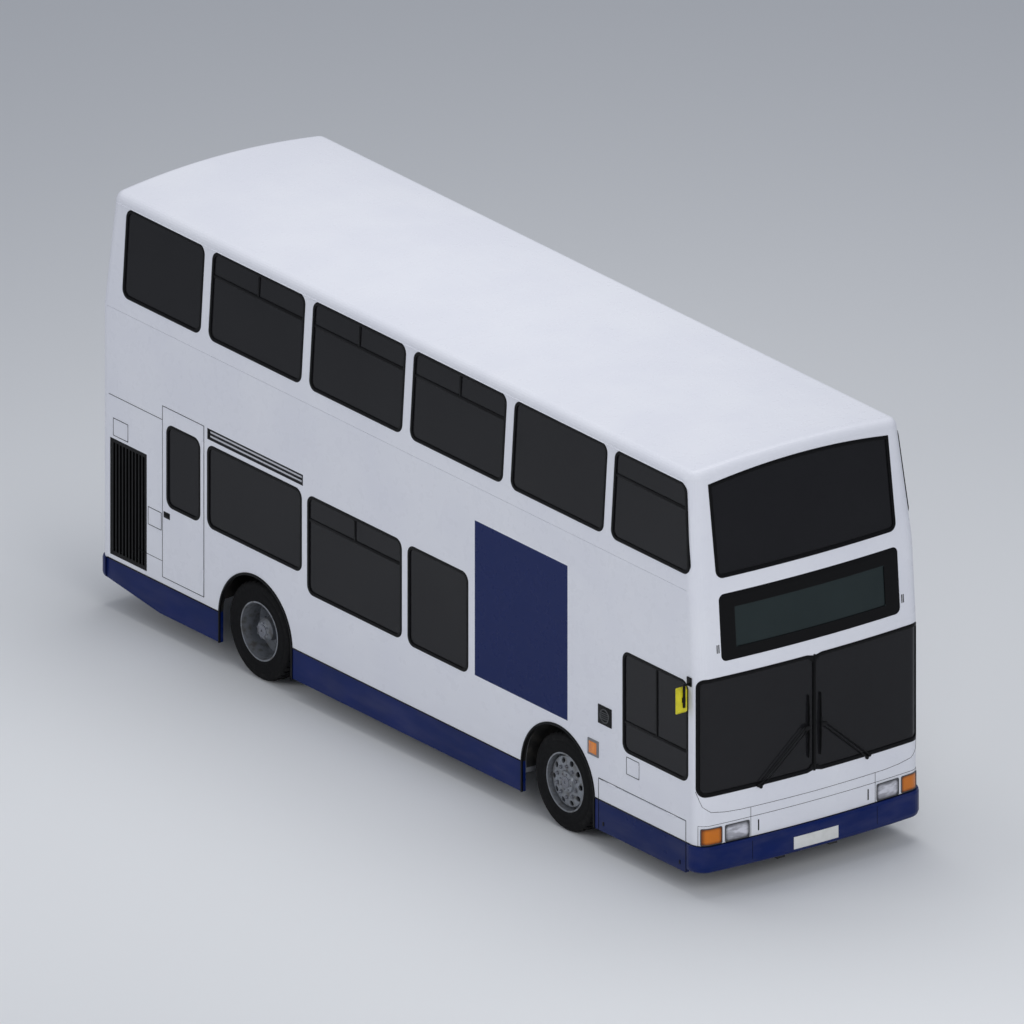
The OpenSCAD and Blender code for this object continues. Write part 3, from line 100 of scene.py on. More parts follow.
class Finish:
    """A material being made. Its constants sit on the shader's own sockets."""

    def __init__(self, name, colour, roughness, metallic=0.0, **constants):
        self.material = bpy.data.materials.new(name)
        self.material.use_nodes = True
        self.tree = self.material.node_tree
        self.shader = self.tree.nodes["Principled BSDF"]
        self.shader.inputs["Base Color"].default_value = (*colour, 1.0)
        self.shader.inputs["Roughness"].default_value = roughness
        self.shader.inputs["Metallic"].default_value = metallic
        for socket, value in constants.items():
            self.shader.inputs[socket.replace("_", " ")].default_value = value
        self.material.diffuse_color = (*colour, 1.0)
        self.place = self.node("ShaderNodeTexCoord", {}, {}, "Object")
        split = self.node("ShaderNodeSeparateXYZ", {}, {"Vector": self.place}, None)
        self.x, self.y, self.z = (Signal(self, s) for s in split.outputs)

    def node(self, kind, settings, inputs, output=0):
        """Any node: its settings, then its sockets' values or links. Returns one output."""
        made = self.tree.nodes.new(kind)
        for setting, value in settings.items():
            if setting == "stops":
                ramp = made.color_ramp.elements
                while len(ramp) < len(value):
                    ramp.new(0.5)
                for stop, (position, colour) in zip(ramp, value):
                    stop.position = position
                    stop.color = (*colour, 1.0)
            else:
                setattr(made, setting, value)
        for socket, value in inputs.items():
            if isinstance(value, Signal):
                self.tree.links.new(value.socket, made.inputs[socket])
            else:
                made.inputs[socket].default_value = value
        return made if output is None else Signal(self, made.outputs[output])

    def noise(self, scale, detail=3.0, stretch=(1.0, 1.0, 1.0)):
        """Cloudy noise, 0 to 1, scale features to the metre, drawn out by stretch."""
        mapped = self.node("ShaderNodeMapping", {}, {"Vector": self.place, "Scale": stretch})
        return self.node("ShaderNodeTexNoise", {}, {"Vector": mapped, "Scale": scale, "Detail": detail})

    def mix(self, share, first, second):
        """Blends two colours. Each is a signal or three numbers."""
        ends = [v if isinstance(v, Signal) else (*v, 1.0) for v in (first, second)]
        made = self.node("ShaderNodeMix", {"data_type": "RGBA"}, {0: share, 6: ends[0], 7: ends[1]}, None)
        return Signal(self, made.outputs[2])

    def bump(self, height, strength, distance):
        bumped = self.node(
            "ShaderNodeBump", {}, {"Height": height, "Strength": strength, "Distance": distance}
        )
        return self.use(Normal=bumped)

    def use(self, **links):
        """Feeds signals into the shader."""
        for socket, signal in links.items():
            self.tree.links.new(signal.socket, self.shader.inputs[socket.replace("_", " ")])
        return self

    def road_film(self, colour, roughness, height=1.1):
        """Dust thrown up by the wheels over a colour, thickest low down."""
        low = 1.0 - self.z.ramp(0.15, height)
        film = low * self.noise(3.0, 6.0, (1.0, 0.5, 2.5)).ramp(0.35, 0.8) * 0.08
        return self.use(
            Base_Color=self.mix(film, colour, (0.30, 0.28, 0.26)),
            Roughness=film * 1.2 + self.noise(9.0) * 0.08 + roughness,
        )


def dress(node, finish):
    """Gives a CAD node its finish."""
    nodes[node].data.materials.clear()
    nodes[node].data.materials.append(finish.material)


def coarse(name, colour, dirt, roughness, metallic=0.0, share=(0.42, 0.72), grain=220.0, depth=0.3):
    """A coarse paint, casting or moulding with dirt over part of it."""
    finish = Finish(name, colour, roughness, metallic)
    cover = finish.noise(5.0, 7.0).ramp(*share)
    tone = finish.mix(finish.noise(30.0, 4.0), colour, [c * 0.72 for c in colour])
    finish.use(Base_Color=finish.mix(cover, tone, dirt), Roughness=cover * 0.25 + roughness)
    return finish.bump(finish.noise(grain, 4.0), depth, 0.001)


ROAD_DIRT = (0.07, 0.062, 0.05)
chassis_paint = coarse("chassis_paint", (0.018, 0.018, 0.019), ROAD_DIRT, 0.5)
cast_iron = coarse("cast_iron", (0.035, 0.036, 0.038), ROAD_DIRT, 0.6, 0.3, grain=140.0, depth=0.5)
engine_paint = coarse("engine_paint", (0.10, 0.11, 0.12), (0.02, 0.018, 0.015), 0.45, grain=90.0, depth=0.5)
exhaust_steel = coarse(
    "exhaust_steel", (0.16, 0.13, 0.11), (0.09, 0.045, 0.025), 0.5, 0.7, (0.35, 0.6), 160.0
)
tank_plastic = coarse("tank_plastic", (0.02, 0.02, 0.021), ROAD_DIRT, 0.5, grain=400.0, depth=0.2)
for node, finish in (
    ("chassis_frame", chassis_paint), ("tow_jaws", chassis_paint), ("front_axle", cast_iron),
    ("rear_axle", cast_iron),
    ("steering_knuckle_offside", cast_iron), ("steering_knuckle_nearside", cast_iron),
    ("engine_block", engine_paint),
    ("underfloor_tanks", tank_plastic), ("exhaust", exhaust_steel),
):
    dress(node, finish)

# ---- Floors, wheel houses and stairs ----
# Plywood floors and stairs under speckled grey vinyl. The wheel houses are steel plate, with
# black sealer towards the wheels and grey lining towards the saloon.
vinyl = Finish("floor_vinyl", (0.055, 0.06, 0.07), 0.6)
flecks = vinyl.noise(380.0, 1.0).ramp(0.60, 0.66)
worn = vinyl.noise(3.5, 5.0).ramp(0.42, 0.75)
vinyl.use(
    Base_Color=vinyl.mix(
        flecks, vinyl.mix(worn, (0.055, 0.06, 0.07), (0.11, 0.105, 0.10)), (0.26, 0.27, 0.31)
    ),
    Roughness=worn * 0.15 + 0.5,
)
vinyl.bump(vinyl.noise(380.0, 1.0), 0.25, 0.0008)
for node in ("lower_floor", "upper_floor", "staircase"):
    dress(node, vinyl)

FRONT_AXLE_Y, REAR_AXLE_Y, HUB_Z = -2.455, 2.247, 0.479
house_paint = Finish("wheel_house_sealer", (0.02, 0.02, 0.02), 0.8)


def from_wheel(y):
    """Distance from an axle's line, seen from the side."""
    along, up_from = house_paint.y - y, house_paint.z - HUB_Z
    return (along * along + up_from * up_from).maths("SQRT")


towards_wheel = (house_paint.x.size() > 0.6345) * (from_wheel(FRONT_AXLE_Y) < 0.5895) + (
    (house_paint.x.size() > 0.6200)
    * ((house_paint.y - REAR_AXLE_Y).size() < 0.5615)
    * (house_paint.z < HUB_Z + 0.5615)
)
splash = house_paint.noise(9.0, 7.0).ramp(0.40, 0.75)
sealer = house_paint.mix(splash, (0.010, 0.010, 0.010), (0.045, 0.040, 0.034))
lining = house_paint.mix(house_paint.noise(4.0, 4.0), (0.17, 0.175, 0.185), (0.13, 0.135, 0.145))
house_paint.use(Base_Color=house_paint.mix(towards_wheel, lining, sealer), Roughness=splash * 0.15 + 0.6)
house_paint.bump(house_paint.noise(120.0, 4.0) * (towards_wheel * 0.8 + 0.2), 0.5, 0.0015)
dress("wheel_houses", house_paint)

# ---- Body panels ----
# Sheet-aluminium panels with rounded ends, riveted to the frame and sprayed white, with one
# navy panel on the offside. Road film lies along their lower edges. The skirts and the moulded
# bumpers are navy.
NAVY = (0.001, 0.011, 0.088)
WHITE = (0.80, 0.81, 0.86)
NAVY_PANEL_Y = (-2.555, -1.128)
NAVY_PANEL_Z = (1.131, 2.665)
SKIRT_TOP = 0.505

white_paint = Finish(
    "white_coach_paint", WHITE, 0.3, Coat_Weight=0.06, Coat_Roughness=0.15, Specular_IOR_Level=0.12
)
panel = white_paint.y.between(*NAVY_PANEL_Y) * white_paint.z.between(*NAVY_PANEL_Z)
navy_area = (panel * (white_paint.x < -1.2745)).maths("MAXIMUM", white_paint.z < SKIRT_TOP)
by_wheels = white_paint.y.between(-3.10, -1.80) + white_paint.y.between(1.60, 2.90)
inside_arches = (white_paint.x.size() < 1.2735) * (white_paint.z < 1.1) * by_wheels
shade = white_paint.mix(white_paint.noise(1.3, 4.0).ramp(0.3, 0.7), (0.76, 0.77, 0.83), (0.79, 0.80, 0.85))
shade = white_paint.mix(inside_arches, shade, (0.012, 0.012, 0.012))
white_paint.road_film(white_paint.mix(navy_area, shade, NAVY), 0.24)
white_paint.bump(white_paint.noise(420.0, 1.0), 0.03, 0.0004)
for node in (
    "lower_sides",
    "upper_sides",
    "roof",
    "front_lower_panel",
    "front_upper_panel",
    "rear_panel",
    "locker_flap",
    "engine_cover",
    "filler_flap",
    "coolant_flap",
    "battery_flap",
):
    dress(node, white_paint)

navy_paint = Finish(
    "navy_coach_paint", NAVY, 0.3, Coat_Weight=0.06, Coat_Roughness=0.15, Specular_IOR_Level=0.12
)
navy_paint.road_film(
    navy_paint.mix(navy_paint.noise(2.0, 5.0).ramp(0.3, 0.75), NAVY, (0.003, 0.014, 0.11)), 0.26
)
navy_paint.bump(navy_paint.noise(420.0, 1.0), 0.06, 0.0006)
dress("skirts", navy_paint)
dress("bumpers", navy_paint)

# ---- Window rubbers and glass ----
# Each pane of dark toughened glass is held in its panel by one black rubber section, with round
# corners. The opening lights are top hoppers behind a transom and a short mullion, all black.

SIDE = 1.275
WAIST = 3.0
SIDE_LEAN = math.radians(3.6)
MIRROR = Matrix.Scale(-1.0, 4, (1.0, 0.0, 0.0))


def new_piece(name, primitive, **settings):
    """Starts a piece from a primitive, with nothing else selected."""
    bpy.ops.object.select_all(action="DESELECT")
    primitive(**settings)
    piece = bpy.context.object
    piece.name = piece.data.name = name
    bpy.ops.object.transform_apply(location=True, rotation=True, scale=True)
    return piece


def only(piece):
    """Selects one piece and makes it active."""
    bpy.ops.object.select_all(action="DESELECT")
    piece.select_set(True)
    bpy.context.view_layer.objects.active = piece


def editing(piece, everything=True):
    only(piece)
    bpy.ops.object.mode_set(mode="EDIT")
    bpy.ops.mesh.select_all(action="SELECT" if everything else "DESELECT")


def done_editing():
    bpy.ops.object.mode_set(mode="OBJECT")


def apply_modifier(piece, kind, **settings):
    only(piece)
    made = piece.modifiers.new(kind, kind)
    for setting, value in settings.items():
        setattr(made, setting, value)
    bpy.ops.object.modifier_apply(modifier=made.name)


def moved(piece, matrix, name=None):
    """A copy of a piece with its own mesh, put in place by a matrix."""
    copy = piece.copy()
    copy.data = piece.data.copy()
    bpy.context.scene.collection.objects.link(copy)
    copy.data.transform(matrix)
    if matrix.determinant() < 0:
        copy.data.flip_normals()
    copy.name = copy.data.name = name or piece.name
    return copy


def removed(*pieces):
    for piece in pieces:
        bpy.data.objects.remove(piece)


def joined(name, pieces):
    """Makes several meshes one piece."""
    bpy.ops.object.select_all(action="DESELECT")
    for piece in pieces:
        piece.select_set(True)
    bpy.context.view_layer.objects.active = pieces[0]
    if len(pieces) > 1:
        bpy.ops.object.join()
    pieces[0].name = pieces[0].data.name = name
    return pieces[0]


def fitted(piece, finish, body, smooth=40.0):
    """A finished piece: its material, shading and body."""
    piece.data.materials.clear()
    piece.data.materials.append(finish.material)
    only(piece)
    bpy.ops.object.shade_smooth_by_angle(angle=math.radians(smooth))
    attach(piece, body)
    return piece


def block(low, high, rounding, segments=2):
    """A bar or pad between two corners, with its edges rounded over."""
    centre = [(a + b) / 2 for a, b in zip(low, high)]
    size = [b - a for a, b in zip(low, high)]
    piece = new_piece("block", bpy.ops.mesh.primitive_cube_add, size=1.0, location=centre, scale=size)
    editing(piece)
    bpy.ops.mesh.bevel(offset=rounding, segments=segments, affect="EDGES")
    done_editing()
    return piece


def surround(corners, radius, over_panel, over_glass, stand, bends=(), square_top=False):
    """A rubber section round an opening, lying in the plane of X (along) and Y (up). The corners
    are lower left, lower right, upper left and upper right. Bends are the places where it is cut
    across, so that it can follow a curve."""
    ring = new_piece("surround", bpy.ops.mesh.primitive_plane_add, size=1.0)
    for vertex, corner, (side, end) in zip(
        ring.data.vertices, corners, ((-1, -1), (1, -1), (-1, 1), (1, 1))
    ):
        vertex.co = (corner[0] + side * over_panel, corner[1] + end * over_panel, 0.0)
    editing(ring, everything=False)
    done_editing()
    for vertex in ring.data.vertices:
        vertex.select = not (square_top and vertex.index > 1)
    bpy.ops.object.mode_set(mode="EDIT")
    bpy.ops.mesh.bevel(offset=radius + over_panel, segments=8, affect="VERTICES")
    bpy.ops.mesh.select_all(action="SELECT")
    bpy.ops.mesh.inset(thickness=over_panel + over_glass)
    bpy.ops.mesh.delete(type="FACE")
    for place in bends:
        bpy.ops.mesh.select_all(action="SELECT")
        bpy.ops.mesh.bisect(plane_co=(place, 0.0, 0.0), plane_no=(1.0, 0.0, 0.0))
    bpy.ops.mesh.select_all(action="SELECT")
    bpy.ops.mesh.extrude_region_move(TRANSFORM_OT_translate={"value": (0.0, 0.0, stand)})
    bpy.ops.mesh.select_all(action="SELECT")
    bpy.ops.mesh.normals_make_consistent(inside=False)
    done_editing()
    apply_modifier(
        ring, "BEVEL", width=0.0025, segments=2, limit_method="ANGLE", angle_limit=math.radians(50)
    )
    return ring


def on_side(x, lean=0.0):
    """The matrix from (along, up, out) to a nearside panel whose skin is at x."""
    axes = Matrix(((0, 0, 1, 0), (1, 0, 0, 0), (0, 1, 0, 0), (0, 0, 0, 1)))
    return Matrix.Translation((x, 0.0, WAIST if lean else 0.0)) @ Matrix.Rotation(-lean, 4, "Y") @ axes


rubber = Finish("window_rubber", (0.003, 0.003, 0.0035), 0.42, Specular_IOR_Level=0.12)
rubber.use(Roughness=rubber.noise(60.0) * 0.2 + 0.34)
rubber.bump(rubber.noise(240.0, 2.0), 0.15, 0.0008)

tinted = Finish("tinted_glass", (0.013, 0.013, 0.015), 0.13, IOR=1.5, Specular_IOR_Level=0.16)
tinted.use(
    Base_Color=tinted.mix(tinted.noise(1.1, 3.0), (0.012, 0.012, 0.014), (0.017, 0.017, 0.019)),
    Roughness=tinted.noise(5.0, 4.0) * 0.07 + 0.10,
    Alpha=1.0 - tinted.noise(0.8) * 0.10,
)
dress("side_glass", tinted)
dress("windscreens", tinted)

RUBBER_ON_PANEL = 0.008
RUBBER_ON_GLASS = 0.024
STAND = 0.014
GLASS_DEPTH = 0.010
WINDOW_CORNER = 0.085


def pane_rubber(y0, y1, z0, z1, x, lean=0.0, radius=WINDOW_CORNER, hopper=0.0, front_top=None):
    """The rubber of one side window, and its transom at the height hopper with a mullion above."""
    def up(z):
        return (z - WAIST) / math.cos(lean) if lean else z

    top_front = y0 if front_top is None else front_top
    corners = ((y0, up(z0)), (y1, up(z0)), (top_front, up(z1)), (y1, up(z1)))
    parts = [surround(corners, radius, RUBBER_ON_PANEL, RUBBER_ON_GLASS, STAND)]
    if hopper:
        middle = (y0 + y1) / 2
        lean_in = 0.0 if front_top is None else (front_top - y0) * 0.72
        inset = RUBBER_ON_GLASS - 0.002
        parts.append(block(
            (y0 + lean_in + inset, up(hopper) - 0.014, 0.0), (y1 - inset, up(hopper) + 0.014, 0.011), 0.002
        ))
        if front_top is None:
            parts.append(block(
                (middle - 0.013, up(hopper) + 0.012, 0.0), (middle + 0.013, up(z1) - inset, 0.0105), 0.002
            ))
    piece = joined("rubber", parts)
    piece.data.transform(on_side(x - GLASS_DEPTH, lean))
    return piece


UPPER_SILL, UPPER_HEAD, UPPER_TRANSOM = 3.157, 4.010, 3.775
upper_rubbers = [
    pane_rubber(-3.085, -1.670, UPPER_SILL, UPPER_HEAD, SIDE, SIDE_LEAN),
    pane_rubber(3.110, 4.300, UPPER_SILL, UPPER_HEAD, SIDE, SIDE_LEAN),
    pane_rubber(
        -4.412, -3.213, UPPER_SILL, UPPER_HEAD, SIDE, SIDE_LEAN, hopper=UPPER_TRANSOM, front_top=-4.2904
    ),
]
for first in (-1.536, 0.013, 1.562):
    upper_rubbers.append(
        pane_rubber(first, first + 1.415, UPPER_SILL, UPPER_HEAD, SIDE, SIDE_LEAN, hopper=UPPER_TRANSOM)
    )
upper_nearside = joined("upper_window_rubbers_nearside", upper_rubbers)
upper_offside = moved(upper_nearside, MIRROR, "upper_window_rubbers_offside")
lower_nearside = joined("lower_window_rubbers_nearside", [
    pane_rubber(3.110, 3.640, 1.300, 2.110, SIDE),
    pane_rubber(1.538, 2.980, 1.300, 2.110, SIDE),
    pane_rubber(0.0, 1.440, 1.130, 2.100, SIDE, hopper=1.861),
    pane_rubber(-1.549, -0.109, 1.130, 2.100, SIDE, hopper=1.861),
    pane_rubber(-3.030, -1.657, 1.130, 2.100, SIDE),
])
cab_parts = [
    pane_rubber(-4.405, -3.410, 1.110, 2.097, SIDE),
    block((SIDE - GLASS_DEPTH, -4.383, 1.389), (SIDE + 0.001, -3.432, 1.415), 0.002),
    block((SIDE - GLASS_DEPTH, -3.935, 1.413), (SIDE + 0.0005, -3.909, 2.075), 0.002),
]
lower_offside = joined("lower_window_rubbers_offside", [
    pane_rubber(1.538, 2.980, 1.300, 2.110, SIDE),
    pane_rubber(0.0, 1.440, 1.130, 2.100, SIDE, hopper=1.861),
    pane_rubber(-1.022, -0.104, 1.115, 2.095, SIDE),
] + cab_parts)
lower_offside.data.transform(MIRROR)
lower_offside.data.flip_normals()
exit_rubber = pane_rubber(3.100, 3.606, 1.303, 2.110, SIDE)
exit_rubber.data.transform(MIRROR)
exit_rubber.data.flip_normals()
exit_rubber.name = exit_rubber.data.name = "emergency_door_rubber"
for piece in (upper_nearside, upper_offside, lower_nearside, lower_offside):
    fitted(piece, rubber, "bus_body")
fitted(exit_rubber, rubber, "emergency_door")

# ---- Windscreens and destination surround ----
# The windscreen is two curved panes that wrap round the corners, with a black bar between them.
# The upper windscreen has an arched top. Each is held by a wide rubber that follows the bow.

FRONT_FACE = -4.645
BOW = (SIDE**2 + 0.066**2) / (2 * 0.066)
CORNER = 0.140
BROW, FOREHEAD = 2.200, 2.900


def front_place(along, up, out):
    """Where a point is that lies so far round the front from its middle, at a height, and out from
    the skin."""
    half = SIDE - max(0.0, up - WAIST) * math.tan(SIDE_LEAN)
    turn = math.asin((half - CORNER) / (BOW - CORNER))
    back = max(0.0, min(up, FOREHEAD) - BROW) * math.tan(math.radians(4.4))
    back += max(0.0, up - FOREHEAD) * math.tan(math.radians(8.1))
    face = FRONT_FACE + back
    run = abs(along)
    side = -1.0 if along < 0 else 1.0
    if run <= BOW * turn:
        angle = run / BOW
        x, y = BOW * math.sin(angle), face + BOW - BOW * math.cos(angle)
    else:
        angle = min(turn + (run - BOW * turn) / CORNER, math.pi / 2)
        x = half - CORNER + CORNER * math.sin(angle)
        y = face + BOW - (BOW - CORNER) * math.cos(turn) - CORNER * math.cos(angle)
        y += max(0.0, run - BOW * turn - CORNER * (math.pi / 2 - turn))
    return Vector((side * (x + out * math.sin(angle)), y - out * math.cos(angle), up))


def along_front(x):
    """How far round the front a place across it is."""
    turn = math.asin((SIDE - CORNER) / (BOW - CORNER))
    if abs(x) <= BOW * math.sin(turn):
        run = BOW * math.asin(abs(x) / BOW)
    else:
        run = BOW * turn + CORNER * (math.asin((abs(x) - SIDE + CORNER) / CORNER) - turn)
    return math.copysign(run, x)


def wrapped(piece, name, depth=0.0):
    """Lays a flat piece, built in X (along), Y (up) and Z (out), round the front. Depth is how far
    below the skin its Z = 0 lies."""
    for vertex in piece.data.vertices:
        vertex.co = front_place(vertex.co.x, vertex.co.y, vertex.co.z - depth)
    editing(piece)
    bpy.ops.mesh.normals_make_consistent(inside=False)
    done_editing()
    piece.name = piece.data.name = name
    return piece


BOW_BENDS = [i * 0.1 for i in range(-11, 12)]
CORNER_BENDS = [s * (1.14 + 0.022 * i) for s in (-1, 1) for i in range(14)]
screen_edge = along_front(1.258)
pane_bends = [b for b in BOW_BENDS + CORNER_BENDS if b > 0.02]
pane_corners = ((0.010, 1.003), (screen_edge, 1.003), (0.010, 2.150), (screen_edge, 2.150))
screen_nearside = surround(pane_corners, 0.080, 0.010, 0.026, 0.014, pane_bends)
for vertex in screen_nearside.data.vertices:
    if vertex.co.x < 0.040:
        vertex.co.x *= 0.42
screen_offside = moved(screen_nearside, MIRROR)
centre_bar = block((-0.012, 1.000, 0.002), (0.012, 2.153, 0.0165), 0.003)
screen_rubber = joined("windscreen_rubber", [screen_nearside, screen_offside, centre_bar])
wrapped(screen_rubber, "windscreen_rubber", GLASS_DEPTH)
fitted(screen_rubber, rubber, "bus_body")

TOP_SCREEN_HALF = 1.028
top_corners = (
    (-TOP_SCREEN_HALF, 3.105), (TOP_SCREEN_HALF, 3.105), (-TOP_SCREEN_HALF, 3.988),
    (TOP_SCREEN_HALF, 3.988),
)
top_rubber = surround(top_corners, 0.070, 0.008, 0.026, 0.014, BOW_BENDS, square_top=True)
for vertex in top_rubber.data.vertices:
    share = max(0.0, 1.0 - (vertex.co.x / TOP_SCREEN_HALF) ** 2)
    vertex.co.y += 0.085 * share * max(0.0, min(1.0, (vertex.co.y - 3.105) / 0.883))
wrapped(top_rubber, "upper_windscreen_rubber", GLASS_DEPTH)
fitted(top_rubber, rubber, "bus_body")

black_plastic = Finish("black_plastic", (0.004, 0.004, 0.0045), 0.45, Specular_IOR_Level=0.18)
black_plastic.use(Roughness=black_plastic.noise(30.0) * 0.25 + 0.36)
black_plastic.bump(black_plastic.noise(700.0, 2.0), 0.2, 0.0004)

blind = Finish("destination_box_black", (0.003, 0.003, 0.0035), 0.4, Specular_IOR_Level=0.15)
glass_area = (blind.x.size() < 0.857) * blind.z.between(2.4145, 2.8025)
blind.use(
    Base_Color=blind.mix(
        glass_area,
        (0.0022, 0.0022, 0.0026),
        blind.mix(blind.noise(2.5), (0.016, 0.024, 0.025), (0.022, 0.032, 0.033)),
    ),
    Roughness=blind.noise(40.0) * 0.15 + 0.36 - glass_area * 0.24,
)
blind.bump(blind.noise(500.0) * (1.0 - glass_area), 0.15, 0.0004)
dress("destination_box", blind)

# ---- Lamps ----
# Moulded lenses in thin dark bezels: fluted clear headlamps and ribbed amber indicators in the
# front panel, and tall clusters in the rear corners. The headlamp lenses carry painted
# reflections and a painted highlight in the middle, going dark towards the rim, and the indicators
# carry painted shade towards their edges. Amber markers and grey housings are screwed to the sides.
lens = Finish(
    "lamp_lenses", (0.7, 0.22, 0.02), 0.2, Coat_Weight=0.25, Coat_Roughness=0.1, Specular_IOR_Level=0.3
)
across = lens.x.size()
headlamp = (across < 1.01) * (lens.y < 0.0)
rear = lens.y > 0.0
# Painted reflections and a painted highlight: light grey cloudy patches in the middle of each headlamp
# lens, which goes dark towards its rim.
middle = ((lens.z - 0.598).size().ramp(0.03, 0.088) + (across - 0.864).size().ramp(0.09, 0.140)).maths(
    "MINIMUM", 1.0
)
clear = lens.mix(
    middle,
    lens.mix(
        lens.noise(9.0, 2.0, (1.0, 1.0, 3.0)).ramp(0.35, 0.65), (0.36, 0.36, 0.40), (0.66, 0.66, 0.72)
    ),
    (0.07, 0.07, 0.08)
)
# Painted shade: each front indicator lens darkens towards its edges.
amber_edge_painted_shade = ((lens.z - 0.598).size().ramp(0.045, 0.086) + (across - 1.133).size().ramp(0.06, 0.108)).maths(
    "MINIMUM", 1.0
)
amber = lens.mix(amber_edge_painted_shade * (1.0 - rear), (0.62, 0.17, 0.004), (0.16, 0.035, 0.002))
red = lens.mix(
    lens.z.between(0.78, 1.02), lens.mix(lens.z > 1.02, (0.45, 0.46, 0.47), (0.62, 0.2, 0.01)),
    (0.35, 0.008, 0.006)
)
lens.use(Base_Color=lens.mix(rear, lens.mix(headlamp, amber, clear), red))
flutes = (lens.x * 420.0).maths("SINE") * headlamp + (lens.z * 520.0).maths("SINE") * (1.0 - headlamp)
lens.bump(flutes, 0.35, 0.0012)
dress("lamps", lens)

bezel_grey = Finish("lamp_bezel_grey", (0.05, 0.052, 0.055), 0.4)
bezel_grey.use(Roughness=bezel_grey.noise(50.0) * 0.25 + 0.3)
bezel_grey.bump(bezel_grey.noise(600.0), 0.15, 0.0004)


def flat_ring(x0, x1, z0, z1, radius, over_panel=0.003, over_glass=0.006, stand=0.007, bends=()):
    corners = ((x0, z0), (x1, z0), (x0, z1), (x1, z1))
    return surround(corners, radius, over_panel, over_glass, stand, bends)


bezels = []
for x0, x1 in ((1.030, 1.236), (0.732, 0.996)):
    start, end = along_front(x0), along_front(x1)
    bends = [start + (end - start) * i / 8 for i in range(1, 8)]
    ring = flat_ring(start, end, 0.516, 0.680, 0.014, bends=bends)
    bezels += [ring, moved(ring, MIRROR)]
front_bezels = joined("front_lamp_bezels", bezels)
wrapped(front_bezels, "front_lamp_bezels", -0.0005)
fitted(front_bezels, bezel_grey, "bus_body")

# ---- Front panel joints, plate and marks ----
# The moulded front is in several panels with sealed joints: a lamp panel, a shallow U-shaped lid
# over the washer bottle, and bumper corners. The blank white plate is screwed to the bumper.


def bead(points, radius, sides=2):
    """A thin run of sealant, rod or moulding along points, made a mesh."""
    bpy.ops.object.select_all(action="DESELECT")
    curve = bpy.data.curves.new("bead", "CURVE")
    curve.dimensions = "3D"
    curve.bevel_depth = radius
    curve.bevel_resolution = sides
    curve.use_fill_caps = True
    line = curve.splines.new("POLY")
    line.points.add(len(points) - 1)
    for point, place in zip(line.points, points):
        point.co = (*place, 1.0)
    piece = bpy.data.objects.new("bead", curve)
    bpy.context.scene.collection.objects.link(piece)
    only(piece)
    bpy.ops.object.convert(target="MESH")
    return bpy.context.object


def front_line(points, radius=0.0022, out=0.0):
    """A bead round the front through (along, up) points, close enough together to follow it."""
    path = []
    for (a0, u0), (a1, u1) in zip(points, points[1:]):
        steps = max(2, int(math.hypot(a1 - a0, u1 - u0) / 0.035))
        path += [front_place(
            a0 + (a1 - a0) * i / steps, u0 + (u1 - u0) * i / steps, out
        ) for i in range(steps)]
    path.append(front_place(*points[-1], out))
    return bead(path, radius)


lid_line = [(1.30, 1.045), (1.235, 0.900), (1.150, 0.838), (1.00, 0.814), (0.828, 0.803), (0.0, 0.798)]
lamp_edge = along_front(1.252)
joints = [
    front_line([(-a, u) for a, u in lid_line] + [(a, u) for a, u in reversed(lid_line[:-1])]),
    front_line([(-lamp_edge, 0.506), (-lamp_edge, 0.706), (lamp_edge, 0.706), (lamp_edge, 0.506)]),
]
for side in (-1, 1):
    joints.append(front_line([(side * 0.715, 0.506), (side * 0.715, 0.803)]))
    joints.append(front_line([(side * 0.715, 0.300), (side * 0.715, 0.480)], out=0.030))
    joints.append(wrapped(
        block((side * 0.630 - 0.006, 0.553, -0.002), (side * 0.630 + 0.006, 0.660, 0.004), 0.0015), "slot"
    ))
joints.append(front_line([(-1.36, 0.5075), (1.36, 0.5075)], 0.0045, 0.002))
front_joints = joined("front_panel_joints", joints)
fitted(front_joints, rubber, "bus_body")

vents = []
for side in (-1, 1):
    for x in (1.052, 1.071):
        vents.append(wrapped(
            block((side * x - 0.005, 2.392, -0.002), (side * x + 0.005, 2.472, 0.004), 0.0015), "vent"
        ))
front_vents = joined("front_vent_bars", vents)
fitted(front_vents, bezel_grey, "bus_body")

plate_white = Finish("plate_white", (0.72, 0.72, 0.70), 0.32)
plate_white.use(Base_Color=plate_white.mix(
    plate_white.noise(7.0, 4.0).ramp(0.4, 0.8), (0.74, 0.74, 0.72), (0.60, 0.60, 0.57)
))
plate_white.bump(plate_white.noise(300.0), 0.05, 0.0003)
plate = block((-0.255, 0.286, -0.001), (0.255, 0.407, 0.002), 0.0008)
editing(plate)
for place in BOW_BENDS[8:15]:
    bpy.ops.mesh.select_all(action="SELECT")
    bpy.ops.mesh.bisect(plane_co=(place, 0.0, 0.0), plane_no=(1.0, 0.0, 0.0))
done_editing()
wrapped(plate, "front_plate", -0.0302)
screws = []
for x in (-0.18, 0.18):
    screw = new_piece(
        "screw", bpy.ops.mesh.primitive_cylinder_add, vertices=12, radius=0.008, depth=0.003,
        location=(x, 0.3465, 0.0014),
    )
    editing(screw)
    bpy.ops.mesh.bevel(offset=0.001, segments=2, affect="EDGES")
    done_editing()
    screws.append(wrapped(screw, "screw", -0.0302))
fitted(joined("front_plate", [plate] + screws), plate_white, "bus_body")

